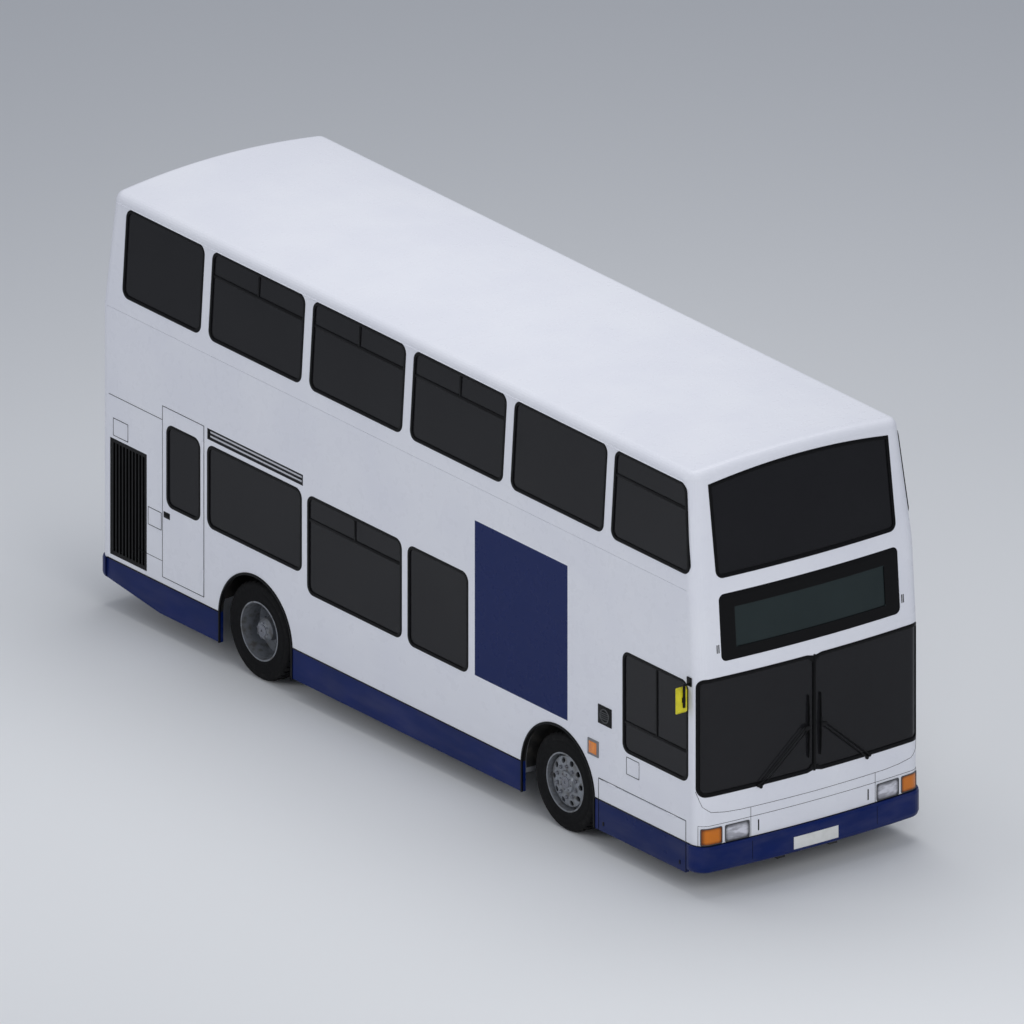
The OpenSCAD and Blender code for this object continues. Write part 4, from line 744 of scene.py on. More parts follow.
# ---- Wipers ----
# Each wiper parks upright beside the centre bar: a sprung black blade on two parallel rods that
# swing on bosses below the glass.
wiper_parts = []
for side in (-1, 1):
    glass_out = 0.004
    wiper_parts.append(wrapped(
        block(
            (side * 0.068 - 0.002, 1.145, glass_out - 0.010),
            (side * 0.068 + 0.002, 1.765, glass_out + 0.006), 0.0008
        ),
        "lip"
    ))
    wiper_parts.append(wrapped(
        block(
            (side * 0.068 - 0.006, 1.155, glass_out + 0.004),
            (side * 0.068 + 0.006, 1.755, glass_out + 0.010), 0.002
        ),
        "spine"
    ))
    for low, high in ((1.19, 1.40), (1.50, 1.71), (1.30, 1.60)):
        raised = 0.022 if low == 1.30 else 0.016
        wiper_parts.append(
            bead([front_place(side * 0.068, z, glass_out + o) for z, o in
                  ((low, 0.009), (low + 0.04, raised), (high - 0.04, raised), (high, 0.009))], 0.0035)
        )
    for offset in (0.0, 0.036):
        wiper_parts.append(
            bead([front_place(side * (a + offset * 0.8), z + offset * 0.5, o) for a, z, o in
                  (
                      (0.085, 1.440, 0.028), (0.20, 1.341, 0.030), (0.40, 1.166, 0.030),
                      (0.570, 1.018, 0.026), (0.610, 0.983, 0.012)
                  )], 0.0055)
        )
        boss = new_piece("boss", bpy.ops.mesh.primitive_cylinder_add,
                         vertices=24, radius=0.017, depth=0.022,
                         location=(side * (0.610 + offset * 0.8), 0.983 + offset * 0.5, 0.008))
        editing(boss)
        bpy.ops.mesh.bevel(offset=0.004, segments=2, affect="EDGES")
        done_editing()
        wiper_parts.append(wrapped(boss, "boss", -0.002))
    wiper_parts.append(wrapped(
        block(
            (min(side * 0.060, side * 0.125), 1.430, glass_out + 0.018),
            (max(side * 0.060, side * 0.125), 1.470, glass_out + 0.028), 0.003
        ),
        "head"
    ))
wipers = joined("wiper_set", wiper_parts)
fitted(wipers, black_plastic, "bus_body")
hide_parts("wipers")

# ---- Offside mirror ----
# A shallow yellow plastic bowl with the glass in its rear face, on a flat black bar and a short
# arm that are bolted to a plate behind the front corner.
MIRROR_X, MIRROR_Y = -1.343, -4.440
bracket = joined("mirror_bracket", [
    block((-1.287, MIRROR_Y - 0.030, 2.073), (-1.2752, MIRROR_Y + 0.040, 2.161), 0.004),
    block((MIRROR_X - 0.010, MIRROR_Y - 0.009, 2.086), (-1.284, MIRROR_Y + 0.009, 2.108), 0.005),
    block((MIRROR_X - 0.012, MIRROR_Y - 0.007, 1.874), (MIRROR_X + 0.012, MIRROR_Y + 0.007, 2.112), 0.004),
    block((MIRROR_X - 0.016, MIRROR_Y - 0.004, 1.925), (MIRROR_X + 0.016, MIRROR_Y + 0.020, 1.975), 0.004),
] + [
    bead([(-1.290, MIRROR_Y + y, 2.117 + z), (-1.285, MIRROR_Y + y, 2.117 + z)], 0.007, 3)
    for y in (-0.018, 0.028) for z in (-0.030, 0.030)
])
fitted(bracket, black_plastic, "bus_body")
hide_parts("side_mirror")

bowl = block(
    (MIRROR_X - 0.062, MIRROR_Y + 0.014, 1.805), (MIRROR_X + 0.062, MIRROR_Y + 0.058, 2.065), 0.010, 3
)
for vertex in bowl.data.vertices:
    if vertex.co.y < MIRROR_Y + 0.030:
        vertex.co.x = MIRROR_X + (vertex.co.x - MIRROR_X) * 0.80
        vertex.co.z = 1.935 + (vertex.co.z - 1.935) * 0.86
editing(bowl, everything=False)
done_editing()
for face in bowl.data.polygons:
    face.select = face.normal.y > 0.99 and face.area > 0.01
bpy.ops.object.mode_set(mode="EDIT")
bpy.ops.mesh.inset(thickness=0.006)
bpy.ops.mesh.extrude_region_move(TRANSFORM_OT_translate={"value": (0.0, -0.006, 0.0)})
done_editing()
bowl.name = bowl.data.name = "mirror_bowl"
yellow_plastic = Finish("yellow_plastic", (0.62, 0.56, 0.010), 0.38)
yellow_plastic.use(
    Base_Color=yellow_plastic.mix(
        yellow_plastic.noise(9.0, 4.0).ramp(0.3, 0.8), (0.70, 0.63, 0.012), (0.50, 0.44, 0.010)
    ),
    Roughness=yellow_plastic.noise(30.0) * 0.2 + 0.3,
)
yellow_plastic.bump(yellow_plastic.noise(500.0), 0.15, 0.0004)
fitted(bowl, yellow_plastic, "bus_body")

silvered = Finish("mirror_glass", (0.75, 0.77, 0.78), 0.04, metallic=1.0)
silvered.use(Roughness=silvered.noise(12.0, 4.0) * 0.05 + 0.02)
looking_glass = block(
    (MIRROR_X - 0.054, MIRROR_Y + 0.050, 1.813), (MIRROR_X + 0.054, MIRROR_Y + 0.0545, 2.057), 0.0015
)
looking_glass.name = looking_glass.data.name = "mirror_looking_glass"
fitted(looking_glass, silvered, "bus_body")

# ---- Wheels ----
# Steel disc wheels in grey paint: a convex disc with hand holes in front, and a pair of dished
# discs back to back behind. Ten nuts hold each, round a flanged hub.
wheel_paint = Finish("wheel_steel_paint", (0.20, 0.215, 0.24), 0.42, metallic=0.35)
grime = wheel_paint.noise(16.0, 6.0).ramp(0.40, 0.75)
wheel_paint.use(
    Base_Color=wheel_paint.mix(grime, (0.235, 0.25, 0.275), (0.13, 0.125, 0.12)),
    Roughness=grime * 0.25 + 0.36,
)
wheel_paint.bump(wheel_paint.noise(180.0, 3.0), 0.15, 0.0008)
for side in ("offside", "nearside"):
    dress("front_rim_" + side, wheel_paint)
    dress("rear_rims_" + side, wheel_paint)

TYRE_OUT, TYRE_WIDTH, TWIN_SPACE = 1.235, 0.275, 0.045
TYRE_IN = TYRE_OUT - TYRE_WIDTH
TWIN_IN = TYRE_IN - TWIN_SPACE - TYRE_WIDTH
NUT_CIRCLE = 0.150


def turned(profile, steps, y, name="turned"):
    """A closed (x, radius) profile turned about an axle's line."""
    piece = new_piece(
        name, bpy.ops.mesh.primitive_circle_add, vertices=len(profile), radius=0.1, fill_type="NOTHING"
    )
    for vertex, (x, radius) in zip(piece.data.vertices, profile):
        vertex.co = (x, y, HUB_Z + radius)
    editing(piece)
    bpy.ops.mesh.spin(steps=steps, angle=2 * math.pi, center=(0.0, y, HUB_Z), axis=(1.0, 0.0, 0.0))
    bpy.ops.mesh.select_all(action="SELECT")
    bpy.ops.mesh.remove_doubles(threshold=0.00005)
    bpy.ops.mesh.normals_make_consistent(inside=False)
    done_editing()
    return piece


def round_axle(piece, y, count, first=0.0):
    """Copies a piece evenly round an axle, and removes the first one."""
    centre = Matrix.Translation((0.0, y, HUB_Z))
    copies = [
        moved(piece, centre @ Matrix.Rotation(first + 2 * math.pi * i / count, 4, "X") @ centre.inverted())
        for i in range(count)
    ]
    removed(piece)
    return copies


def nut(x, radius, across, length, y):
    """A hexagon nut on its stud and washer, facing +X from x."""
    parts = []
    for sides, r, start, end, rounding in (
        (6, across / 2, 0.0, length * 0.7, 0.003), (14, across * 0.58, -0.002, 0.004, 0.001),
        (12, across * 0.26, 0.0, length, 0.002)
    ):
        part = new_piece("nut", bpy.ops.mesh.primitive_cylinder_add,
                         vertices=sides, radius=r, depth=end - start,
                         location=(
                             x + (start + end) / 2, y, HUB_Z + radius
                         ), rotation=(0.0, math.pi / 2, 0.0))
        editing(part)
        bpy.ops.mesh.bevel(offset=rounding, segments=1, affect="EDGES")
        done_editing()
        parts.append(part)
    return joined("nut", parts)


def wheel_fittings(name, y, disc_x, cap_x):
    """Nuts round the disc, a ring of small bolts on the hub's flange, and a domed cap."""
    parts = round_axle(nut(disc_x, NUT_CIRCLE, 0.036, 0.026, y), y, 10)
    parts += round_axle(nut(cap_x - 0.001, 0.078, 0.016, 0.008, y), y, 8, 0.2)
    parts.append(turned([(cap_x - 0.004, 0.058), (cap_x + 0.003, 0.058), (cap_x + 0.006, 0.052),
                         (cap_x + 0.0065, 0.030), (cap_x + 0.0065, 0.012), (cap_x - 0.004, 0.012)], 40, y))
    valve = bead(
        [
            (disc_x - 0.01, y + 0.235, HUB_Z + 0.01), (disc_x + 0.010, y + 0.240, HUB_Z + 0.01),
            (disc_x + 0.022, y + 0.236, HUB_Z + 0.01)
        ],
        0.004
    )
    parts.append(valve)
    return joined(name, parts)


front_fittings = wheel_fittings(
    "front_wheel_fittings_nearside", FRONT_AXLE_Y, TYRE_OUT - 0.027, TYRE_OUT - 0.0075
)
rear_fittings = wheel_fittings(
    "rear_wheel_fittings_nearside", REAR_AXLE_Y, TYRE_IN + 0.006, TYRE_OUT - 0.041
)
bright_steel = Finish("wheel_nut_steel", (0.22, 0.23, 0.25), 0.36, metallic=0.6)
rust = bright_steel.noise(90.0, 5.0).ramp(0.52, 0.72)
bright_steel.use(
    Base_Color=bright_steel.mix(rust, (0.21, 0.22, 0.25), (0.10, 0.060, 0.040)), Roughness=rust * 0.4 + 0.3
)
bright_steel.bump(bright_steel.noise(500.0, 3.0), 0.2, 0.0004)
for piece, body in ((front_fittings, "front_wheel_"), (rear_fittings, "rear_wheels_")):
    twin = moved(piece, MIRROR, piece.name.replace("nearside", "offside"))
    fitted(piece, bright_steel, body + "nearside")
    fitted(twin, bright_steel, body + "offside")

# ---- Tyres ----
# Moulded city-bus tyres: four grooves round the tread, cross cuts in its shoulders, and ribbed
# sidewalls with no lettering. The rear ones are in pairs.
TYRE_R, RIM_R = 0.479, 0.286
GROOVE = 0.011


def tyre_profile(inner):
    """Half of the section from bead to tread, then grooves, then the other half: (x, radius)."""
    half = TYRE_WIDTH / 2
    wall = [(half - 0.006, RIM_R + 0.0006), (half - 0.003, RIM_R + 0.030), (half - 0.0045, RIM_R + 0.036),
            (half - 0.001, RIM_R + 0.060), (half, RIM_R + 0.105), (half - 0.002, RIM_R + 0.110),
            (half - 0.0005, RIM_R + 0.116),
            (half - 0.004, TYRE_R - 0.042), (half - 0.009, TYRE_R - 0.026), (half - 0.012, TYRE_R - 0.024),
            (half - 0.018, TYRE_R - 0.014), (half - 0.030, TYRE_R - 0.005), (half - 0.050, TYRE_R - 0.0015)]
    tread = []
    for centre in (0.058, 0.020):
        tread += [
            (centre + 0.007, TYRE_R - 0.0006), (centre + 0.004, TYRE_R - GROOVE),
            (centre - 0.004, TYRE_R - GROOVE), (centre - 0.007, TYRE_R - 0.0004)
        ]
    right = wall + tread
    left = [(-x, r) for x, r in reversed(right)]
    return [(inner + half + x, r) for x, r in right + left]


def tyre(inner, y, name):
    piece = turned(tyre_profile(inner), 120, y, name)
    middle = inner + TYRE_WIDTH / 2
    for polygon in piece.data.polygons:
        polygon.select = False
    for edge in piece.data.edges:
        edge.select = False
    for vertex in piece.data.vertices:
        vertex.select = False
    for polygon in piece.data.polygons:
        c = polygon.center
        radius = math.hypot(c.y - y, c.z - HUB_Z)
        step = int((math.atan2(c.z - HUB_Z, c.y - y) / (2 * math.pi) % 1.0) * 120)
        on_shoulder = 0.068 < abs(c.x - middle) < 0.122 and radius > TYRE_R - 0.013
        polygon.select = on_shoulder and step % 3 == 0
    only(piece)
    bpy.ops.object.mode_set(mode="EDIT")
    bpy.ops.mesh.select_mode(type="FACE")
    bpy.ops.mesh.extrude_region_shrink_fatten(TRANSFORM_OT_shrink_fatten={"value": -0.008})
    bpy.ops.mesh.select_mode(type="VERT")
    done_editing()
    return piece


tyre_rubber = Finish("tyre_rubber", (0.006, 0.006, 0.0065), 0.75, Specular_IOR_Level=0.15)
above_hub = tyre_rubber.z - HUB_Z
beside_hub = (tyre_rubber.y + 0.104).size() - 2.351
reach = (above_hub * above_hub + beside_hub * beside_hub).maths("SQRT")
scuff = tyre_rubber.noise(22.0, 6.0).ramp(0.45, 0.8) * (reach > 0.40)
tyre_rubber.use(
    Base_Color=tyre_rubber.mix(scuff * 0.4, (0.0045, 0.0045, 0.005), (0.030, 0.028, 0.026)),
    Roughness=tyre_rubber.noise(40.0, 4.0) * 0.25 + 0.62,
)
rings = (reach * 900.0).maths("SINE") * reach.between(0.30, 0.35) * 0.4
tyre_rubber.bump(rings + tyre_rubber.noise(260.0, 3.0) * 0.6, 0.4, 0.0010)
front_tyre = tyre(TYRE_IN, FRONT_AXLE_Y, "front_tyre_tread_nearside")
outer_tyre = tyre(TYRE_IN, REAR_AXLE_Y, "outer")
rear_tyres = joined(
    "rear_tyre_treads_nearside",
    [outer_tyre, moved(outer_tyre, Matrix.Translation((TWIN_IN - TYRE_IN, 0.0, 0.0)))]
)
for piece, body, node in (
    (front_tyre, "front_wheel_", "front_tyre_"), (rear_tyres, "rear_wheels_", "rear_tyres_")
):
    twin = moved(piece, MIRROR, piece.name.replace("nearside", "offside"))
    for made, side in ((piece, "nearside"), (twin, "offside")):
        fitted(made, tyre_rubber, body + side, 35.0)
        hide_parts(node + side)

# ---- Wheel arch lips ----
# A black rubber lip is pushed onto the edge of each wheel arch and runs down to the foot of the
# skirts on both sides of the wheel.
lips = []
for y in (FRONT_AXLE_Y + 0.046, REAR_AXLE_Y - 0.005):
    lip = new_piece(
        "lip", bpy.ops.mesh.primitive_circle_add, vertices=96, radius=0.545, fill_type="NOTHING",
        location=(0.0, 0.0, 0.0)
    )
    editing(lip, everything=False)
    done_editing()
    for vertex in lip.data.vertices:
        vertex.select = vertex.co.y < -0.001
    bpy.ops.object.mode_set(mode="EDIT")
    bpy.ops.mesh.delete(type="VERT")
    done_editing()
    for vertex in lip.data.vertices:
        vertex.select = vertex.co.y < 0.01
    bpy.ops.object.mode_set(mode="EDIT")
    bpy.ops.mesh.extrude_region_move(TRANSFORM_OT_translate={"value": (0.0, -0.272, 0.0)})
    bpy.ops.mesh.select_all(action="SELECT")
    bpy.ops.mesh.extrude_region_move(TRANSFORM_OT_translate={"value": (0.0, 0.0, 0.0)})
    bpy.ops.transform.resize(value=(1.046, 1.046, 1.0), center_override=(0.0, 0.0, 0.0))
    done_editing()
    apply_modifier(lip, "SOLIDIFY", thickness=0.016, offset=0.0)
    apply_modifier(
        lip, "BEVEL", width=0.004, segments=2, limit_method="ANGLE", angle_limit=math.radians(50)
    )
    lip.data.transform(Matrix.Translation((SIDE + 0.001, y, HUB_Z)) @ Matrix((
        (0, 0, 1, 0), (1, 0, 0, 0), (0, 1, 0, 0), (0, 0, 0, 1)
    )))
    editing(lip)
    bpy.ops.mesh.normals_make_consistent(inside=False)
    done_editing()
    lips += [lip, moved(lip, MIRROR)]
fitted(joined("wheel_arch_lips", lips), rubber, "bus_body")

# ---- Side fittings ----
# Rubber-edged joints round the doors and flaps, a black rubbing strip above the skirts, amber
# side markers in grey housings, and a round black vent in a square plate behind the cab.
SKIN = SIDE + 0.0004


def outline(node):
    """The dark joint round an offside door or flap, laid on the skin beside it."""
    low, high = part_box(node)
    y0, y1 = low.y - 0.001, high.y + 0.001
    z0, z1 = low.z - 0.001, high.z + 0.001
    return bead(
        [(-SKIN, y0, z0), (-SKIN, y0, z1), (-SKIN, y1, z1), (-SKIN, y1, z0), (-SKIN, y0, z0)], 0.003
    )


side_joints = [outline(node) for node in ("filler_flap", "coolant_flap", "battery_flap", "emergency_door")]
locker_low, locker_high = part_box("locker_flap")
side_joints.append(bead([
    (-SKIN, locker_high.y + 0.002, 0.215), (-SKIN, locker_high.y + 0.002, 0.720),
    (-SKIN, locker_low.y - 0.002, 0.720), (-SKIN, locker_low.y - 0.002, 0.215),
], 0.0032))
side_joints.append(bead([(-SKIN, 3.675, 2.133), (-SKIN, 4.500, 2.133)], 0.003))
side_joints.append(bead([(-SKIN, 3.680, 0.735), (-SKIN, 4.060, 0.735)], 0.0025))
STRIP_Z = 0.507
for side in (-1, 1):
    runs = [(-1.855, 1.685), (2.795, 4.520)]
    runs += [(-4.440, -4.378), (-3.028, -2.968)] if side < 0 else [(-3.140, -2.968)]
    for y0, y1 in runs:
        low_x, high_x = sorted((side * (SIDE - 0.001), side * (SIDE + 0.006)))
        side_joints.append(block((low_x, y0, STRIP_Z - 0.006), (high_x, y1, STRIP_Z + 0.006), 0.002))
fitted(joined("side_joints_and_strips", side_joints), rubber, "bus_body")

locker_strip = block(
    (-SIDE - 0.006, locker_low.y + 0.006, STRIP_Z - 0.006),
    (-SIDE + 0.001, locker_high.y - 0.006, STRIP_Z + 0.006), 0.002
)
latches = [locker_strip]
for y, z in ((-3.107, 0.283), (-4.282, 0.281)):
    latches.append(block(
        (-SIDE - 0.005, y - 0.011, z - 0.020), (-SIDE + 0.002, y + 0.011, z + 0.020), 0.003
    ))
fitted(joined("locker_latches", latches), black_plastic, "locker_flap")

door_handle = joined("emergency_door_handle", [
    block((-SIDE - 0.003, 3.560, 1.175), (-SIDE + 0.002, 3.655, 1.235), 0.0014),
    block((-SIDE - 0.010, 3.575, 1.198), (-SIDE - 0.001, 3.640, 1.212), 0.003),
])
fitted(door_handle, black_plastic, "emergency_door")

MARKER = ((-3.036, 0.913), (-2.872, 1.073))
marker_frame = block(
    (-SIDE - 0.010, MARKER[0][0], MARKER[0][1]), (-SIDE + 0.002, MARKER[1][0], MARKER[1][1]), 0.004
)
for face in marker_frame.data.polygons:
    face.select = face.normal.x < -0.99 and face.area > 0.004
bpy.ops.object.mode_set(mode="EDIT")
bpy.ops.mesh.inset(thickness=0.016)
bpy.ops.mesh.extrude_region_move(TRANSFORM_OT_translate={"value": (0.006, 0.0, 0.0)})
done_editing()
marker_lens = block(
    (-SIDE - 0.014, MARKER[0][0] + 0.024, MARKER[0][1] + 0.022),
    (-SIDE - 0.003, MARKER[1][0] - 0.024, MARKER[1][1] - 0.022), 0.005, 3
)
frames = joined("side_marker_frames", [marker_frame, moved(marker_frame, MIRROR)])
housing_grey = Finish("marker_housing_grey", (0.17, 0.17, 0.175), 0.5)
housing_grey.use(Roughness=housing_grey.noise(60.0) * 0.2 + 0.4)
housing_grey.bump(housing_grey.noise(500.0), 0.2, 0.0004)
fitted(frames, housing_grey, "bus_body")
amber_lens = Finish("marker_amber", (0.75, 0.20, 0.008), 0.18, Coat_Weight=0.5)
amber_lens.use(Base_Color=amber_lens.mix(
    amber_lens.noise(20.0).ramp(0.3, 0.7), (0.85, 0.26, 0.012), (0.60, 0.14, 0.006)
))
amber_lens.bump((amber_lens.z * 500.0).maths("SINE"), 0.3, 0.001)
lenses = joined("side_marker_lenses", [marker_lens, moved(marker_lens, MIRROR)])
fitted(lenses, amber_lens, "bus_body")

VENT_Y, VENT_Z = -3.133, 1.361
vent_plate = block(
    (-SIDE - 0.008, VENT_Y - 0.103, VENT_Z - 0.093), (-SIDE + 0.002, VENT_Y + 0.103, VENT_Z + 0.093), 0.003
)
vent_ring = new_piece("ring", bpy.ops.mesh.primitive_torus_add, location=(-SIDE - 0.008, VENT_Y, VENT_Z),
                      rotation=(
                          0.0, math.pi / 2, 0.0
                      ), major_radius=0.064, minor_radius=0.006, major_segments=40, minor_segments=8)
vent_bars = [block(
    (-SIDE - 0.013, VENT_Y - 0.056, VENT_Z + z - 0.004),
    (-SIDE - 0.006, VENT_Y + 0.056, VENT_Z + z + 0.004), 0.0015
)
             for z in (-0.030, -0.010, 0.010, 0.030)]
screws = [bead([(-SIDE - 0.010, VENT_Y + y, VENT_Z + z), (-SIDE - 0.006, VENT_Y + y, VENT_Z + z)], 0.006, 3)
          for y in (-0.088, 0.088) for z in (-0.078, 0.078)]
fitted(joined("side_vent_plate", [vent_plate] + screws), black_plastic, "bus_body")
fitted(joined("side_vent_grating", [vent_ring] + vent_bars), bezel_grey, "bus_body")
dress("side_grilles", black_plastic)
# Painted shade: a black sheet behind each engine grille stands in for the dark engine bay, so that nothing
# bright shows through the slats. Its weave is a pattern on it.
screen = block((1.2262, 3.880, 0.530), (1.2315, 4.455, 1.735), 0.001)
bay_shade_screen = Finish("grille_screen_painted_shade", (0.004, 0.004, 0.004), 0.8, Specular_IOR_Level=0.1)
weave = (bay_shade_screen.y * 520.0).maths("SINE") + (bay_shade_screen.z * 520.0).maths("SINE")
bay_shade_screen.use(Base_Color=bay_shade_screen.mix(
    weave.ramp(0.2, 1.2), (0.0015, 0.0015, 0.0015), (0.012, 0.012, 0.013)
))
bay_shade_screen.bump(weave, 0.4, 0.001)
fitted(joined("grille_screens", [screen, moved(screen, MIRROR)]), bay_shade_screen, "bus_body")

# ---- Roof rails ----
# A folded aluminium drip rail runs along each edge of the roof, over the upper windows, painted
# with the body.
drip = bead(
    [(SIDE - 0.0632, y, 4.022 + 0.002 * math.cos(y)) for y in [-4.24 + 0.29 * i for i in range(31)]], 0.0055
)
drip_rails = joined("roof_drip_rails", [drip, moved(drip, MIRROR)])
fitted(drip_rails, white_paint, "bus_body")

# ---- Doors ----
# The entrance has two aluminium-framed leaves with full-height glass, on turning posts. The
# emergency door is a skinned frame with a fixed window.
leaf_paint = Finish("door_leaf_aluminium", (0.62, 0.63, 0.66), 0.35)
leaf_glass = (
    leaf_paint.x.between(1.2505, 1.2575) * leaf_paint.z.between(0.474, 2.129)
    * (leaf_paint.y.between(-4.296, -3.8425) + leaf_paint.y.between(-3.6905, -3.237))
)
leaf_paint.use(
    Base_Color=leaf_paint.mix(
        leaf_glass,
        leaf_paint.mix(leaf_paint.noise(3.0, 5.0).ramp(0.3, 0.8), (0.66, 0.67, 0.70), (0.52, 0.52, 0.54)),
        (0.012, 0.012, 0.014)
    ),
    Roughness=leaf_paint.noise(8.0, 4.0) * 0.12 + 0.30 - leaf_glass * 0.2,
    Metallic=(1.0 - leaf_glass) * 0.6,
)
leaf_paint.bump(leaf_paint.noise(300.0) * (1.0 - leaf_glass), 0.08, 0.0005)
for leaf, y0, y1 in (("entrance_leaf_front", -4.297, -3.8415), ("entrance_leaf_rear", -3.6915, -3.236)):
    dress(leaf, leaf_paint)
    seal = pane_rubber(y0, y1, 0.473, 2.130, 1.2705, radius=0.060)
    edge = y1 + 0.0705 if leaf.endswith("front") else y0 - 0.0705
    nosing = block((1.236, edge - 0.003, 0.350), (1.272, edge + 0.0015, 2.230), 0.0012)
    seal = joined(leaf + "_rubbers", [seal, nosing])
    fitted(seal, rubber, leaf)

exit_paint = Finish(
    "emergency_door_paint", WHITE, 0.3, Coat_Weight=0.06, Coat_Roughness=0.15, Specular_IOR_Level=0.12
)
exit_glass = exit_paint.y.between(
    3.1005, 3.6055
) * exit_paint.z.between(1.3035, 2.1095) * exit_paint.x.between(-1.2672, -1.2605)
exit_shade = exit_paint.mix(
    exit_paint.noise(1.3, 4.0).ramp(0.3, 0.7), (0.76, 0.77, 0.83), (0.79, 0.80, 0.85)
)
exit_paint.use(
    Base_Color=exit_paint.mix(exit_glass, exit_shade, (0.012, 0.012, 0.014)),
    Roughness=exit_paint.noise(9.0) * 0.08 + 0.24 - exit_glass * 0.12,
)
exit_paint.bump(exit_paint.noise(420.0, 1.0) * (1.0 - exit_glass), 0.06, 0.0006)
dress("emergency_door", exit_paint)

# ---- Rear end ----
# The upper rear window is a fixed pane in rubber. Below it the engine cover has pressed louvres
# and two turn latches, with lamp clusters beside it and a blank plate on the bumper.
REAR_FACE = 4.654
REAR_BOW = (SIDE**2 + 0.030**2) / (2 * 0.030)
TAPER = math.tan(math.radians(5.0))


def rear_place(x, up, out):
    """Where a point is that lies across the rear, at a height, and out from the skin."""
    sag = REAR_BOW - math.sqrt(REAR_BOW**2 - x * x)
    return Vector((x, REAR_FACE - sag - max(0.0, up - WAIST) * TAPER + out, up))


def on_rear(piece, name, depth=0.0):
    for vertex in piece.data.vertices:
        vertex.co = rear_place(vertex.co.x, vertex.co.y, vertex.co.z - depth)
    editing(piece)
    bpy.ops.mesh.normals_make_consistent(inside=False)
    done_editing()
    piece.name = piece.data.name = name
    return piece


rear_bends = [i * 0.11 for i in range(-7, 8)]
rear_ring = surround(
    ((-0.880, 3.160), (0.880, 3.160), (-0.880, 3.960), (0.880, 3.960)), 0.085, 0.008, 0.026, 0.014,
    rear_bends
)
on_rear(rear_ring, "rear_window_rubber", GLASS_DEPTH)
fitted(rear_ring, rubber, "bus_body")

cluster = surround(
    ((1.010, 0.620), (1.140, 0.620), (1.010, 1.180), (1.140, 1.180)), 0.016, 0.006, 0.005, 0.008
)
twin_cluster = moved(cluster, MIRROR)
rear_bezels = on_rear(joined("rear_lamp_bezels", [cluster, twin_cluster]), "rear_lamp_bezels", 0.0005)
fitted(rear_bezels, bezel_grey, "bus_body")

louvre = block((-0.225, 0.0, -0.001), (0.225, 0.024, 0.012), 0.003)
for vertex in louvre.data.vertices:
    if vertex.co.y > 0.012:
        vertex.co.z = min(vertex.co.z, 0.0015)
louvres = []
for x in (-0.50, 0.0, 0.50):
    for i in range(7):
        louvres.append(moved(louvre, Matrix.Translation((x, 1.120 + 0.048 * i, 0.0))))
removed(louvre)
louvres = on_rear(joined("engine_cover_louvres", louvres), "engine_cover_louvres")
fitted(louvres, white_paint, "engine_cover")
cover_latches = []
for x in (-0.60, 0.60):
    cover_latches.append(block((x - 0.030, 0.600, -0.001), (x + 0.030, 0.650, 0.004), 0.0015))
    cover_latches.append(block((x - 0.024, 0.618, 0.003), (x + 0.024, 0.632, 0.013), 0.003))
fitted(
    on_rear(joined("engine_cover_latches", cover_latches), "engine_cover_latches"), black_plastic,
    "engine_cover"
)
cover_edge = bead([rear_place(x, z, 0.0004) for x, z in
                   [(-0.884, 0.53), (-0.884, 1.565)] + [(-0.884 + 0.221 * i, 1.572) for i in range(9)] + [
                       (0.884, 1.565), (0.884, 0.53)
                   ]], 0.003)
fitted(cover_edge, rubber, "bus_body")
cover_edge.name = cover_edge.data.name = "engine_cover_joint"
rear_plate = on_rear(block((-0.255, 0.310, -0.001), (0.255, 0.421, 0.002), 0.0008), "rear_plate", -0.0212)
fitted(rear_plate, plate_white, "bus_body")

# ---- Cab and saloon fittings ----
# A laminate cab partition, a moulded dash, yellow-coated steel grab rails, and moulded seat shells
# on steel legs. The steering wheel has a foam-covered rim.


def moulded(name, colour, roughness, grain=600.0, tint=0.8):
    """A moulding or coating, slightly cloudy and finely grained."""
    finish = Finish(name, colour, roughness)
    cloud = finish.noise(6.0, 5.0).ramp(0.3, 0.75)
    finish.use(
        Base_Color=finish.mix(cloud, colour, [c * tint for c in colour]),
        Roughness=finish.noise(40.0, 3.0) * 0.2 + roughness - 0.08
    )
    return finish.bump(finish.noise(grain, 3.0), 0.25, 0.0006)


yellow_rail = moulded("yellow_rail", (0.66, 0.42, 0.015), 0.35, 300.0)
shell_grey = moulded("seat_shell_grey", (0.13, 0.14, 0.16), 0.45)
for node, finish in (
    ("cab_partition", moulded("partition_laminate", (0.30, 0.31, 0.33), 0.42, 180.0, 0.9)),
    ("dashboard", moulded("dash_moulding", (0.035, 0.036, 0.04), 0.55)),
    ("handrails", yellow_rail),
    ("seat_frames", shell_grey),
    ("steering_wheel", moulded("steering_wheel_rim", (0.012, 0.012, 0.013), 0.55, 900.0)),
):
    dress(node, finish)

# ---- Seats ----
# Foam cushions under wool moquette, two places wide, with a sewn channel between the places and
# two across the back. Each is pressed from one mould and fixed to its shell.
moquette = Finish("seat_moquette", (0.02, 0.035, 0.14), 0.9, Sheen_Weight=0.35)
small = moquette.node("ShaderNodeTexVoronoi", {"feature": "F1"}, {"Vector": moquette.place, "Scale": 34.0})
dots = 1.0 - small.ramp(0.16, 0.24)
nap = moquette.noise(700.0, 2.0)
moquette.use(
    Base_Color=moquette.mix(
        dots * 0.8, moquette.mix(nap, (0.014, 0.026, 0.11), (0.030, 0.048, 0.17)), (0.35, 0.06, 0.05)
    ),
    Roughness=nap * 0.15 + 0.8,
)
moquette.bump(
    (moquette.x * 2500.0).maths("SINE") * 0.3 + (moquette.y * 2500.0).maths("SINE") * 0.3 + nap, 0.4, 0.0008
)


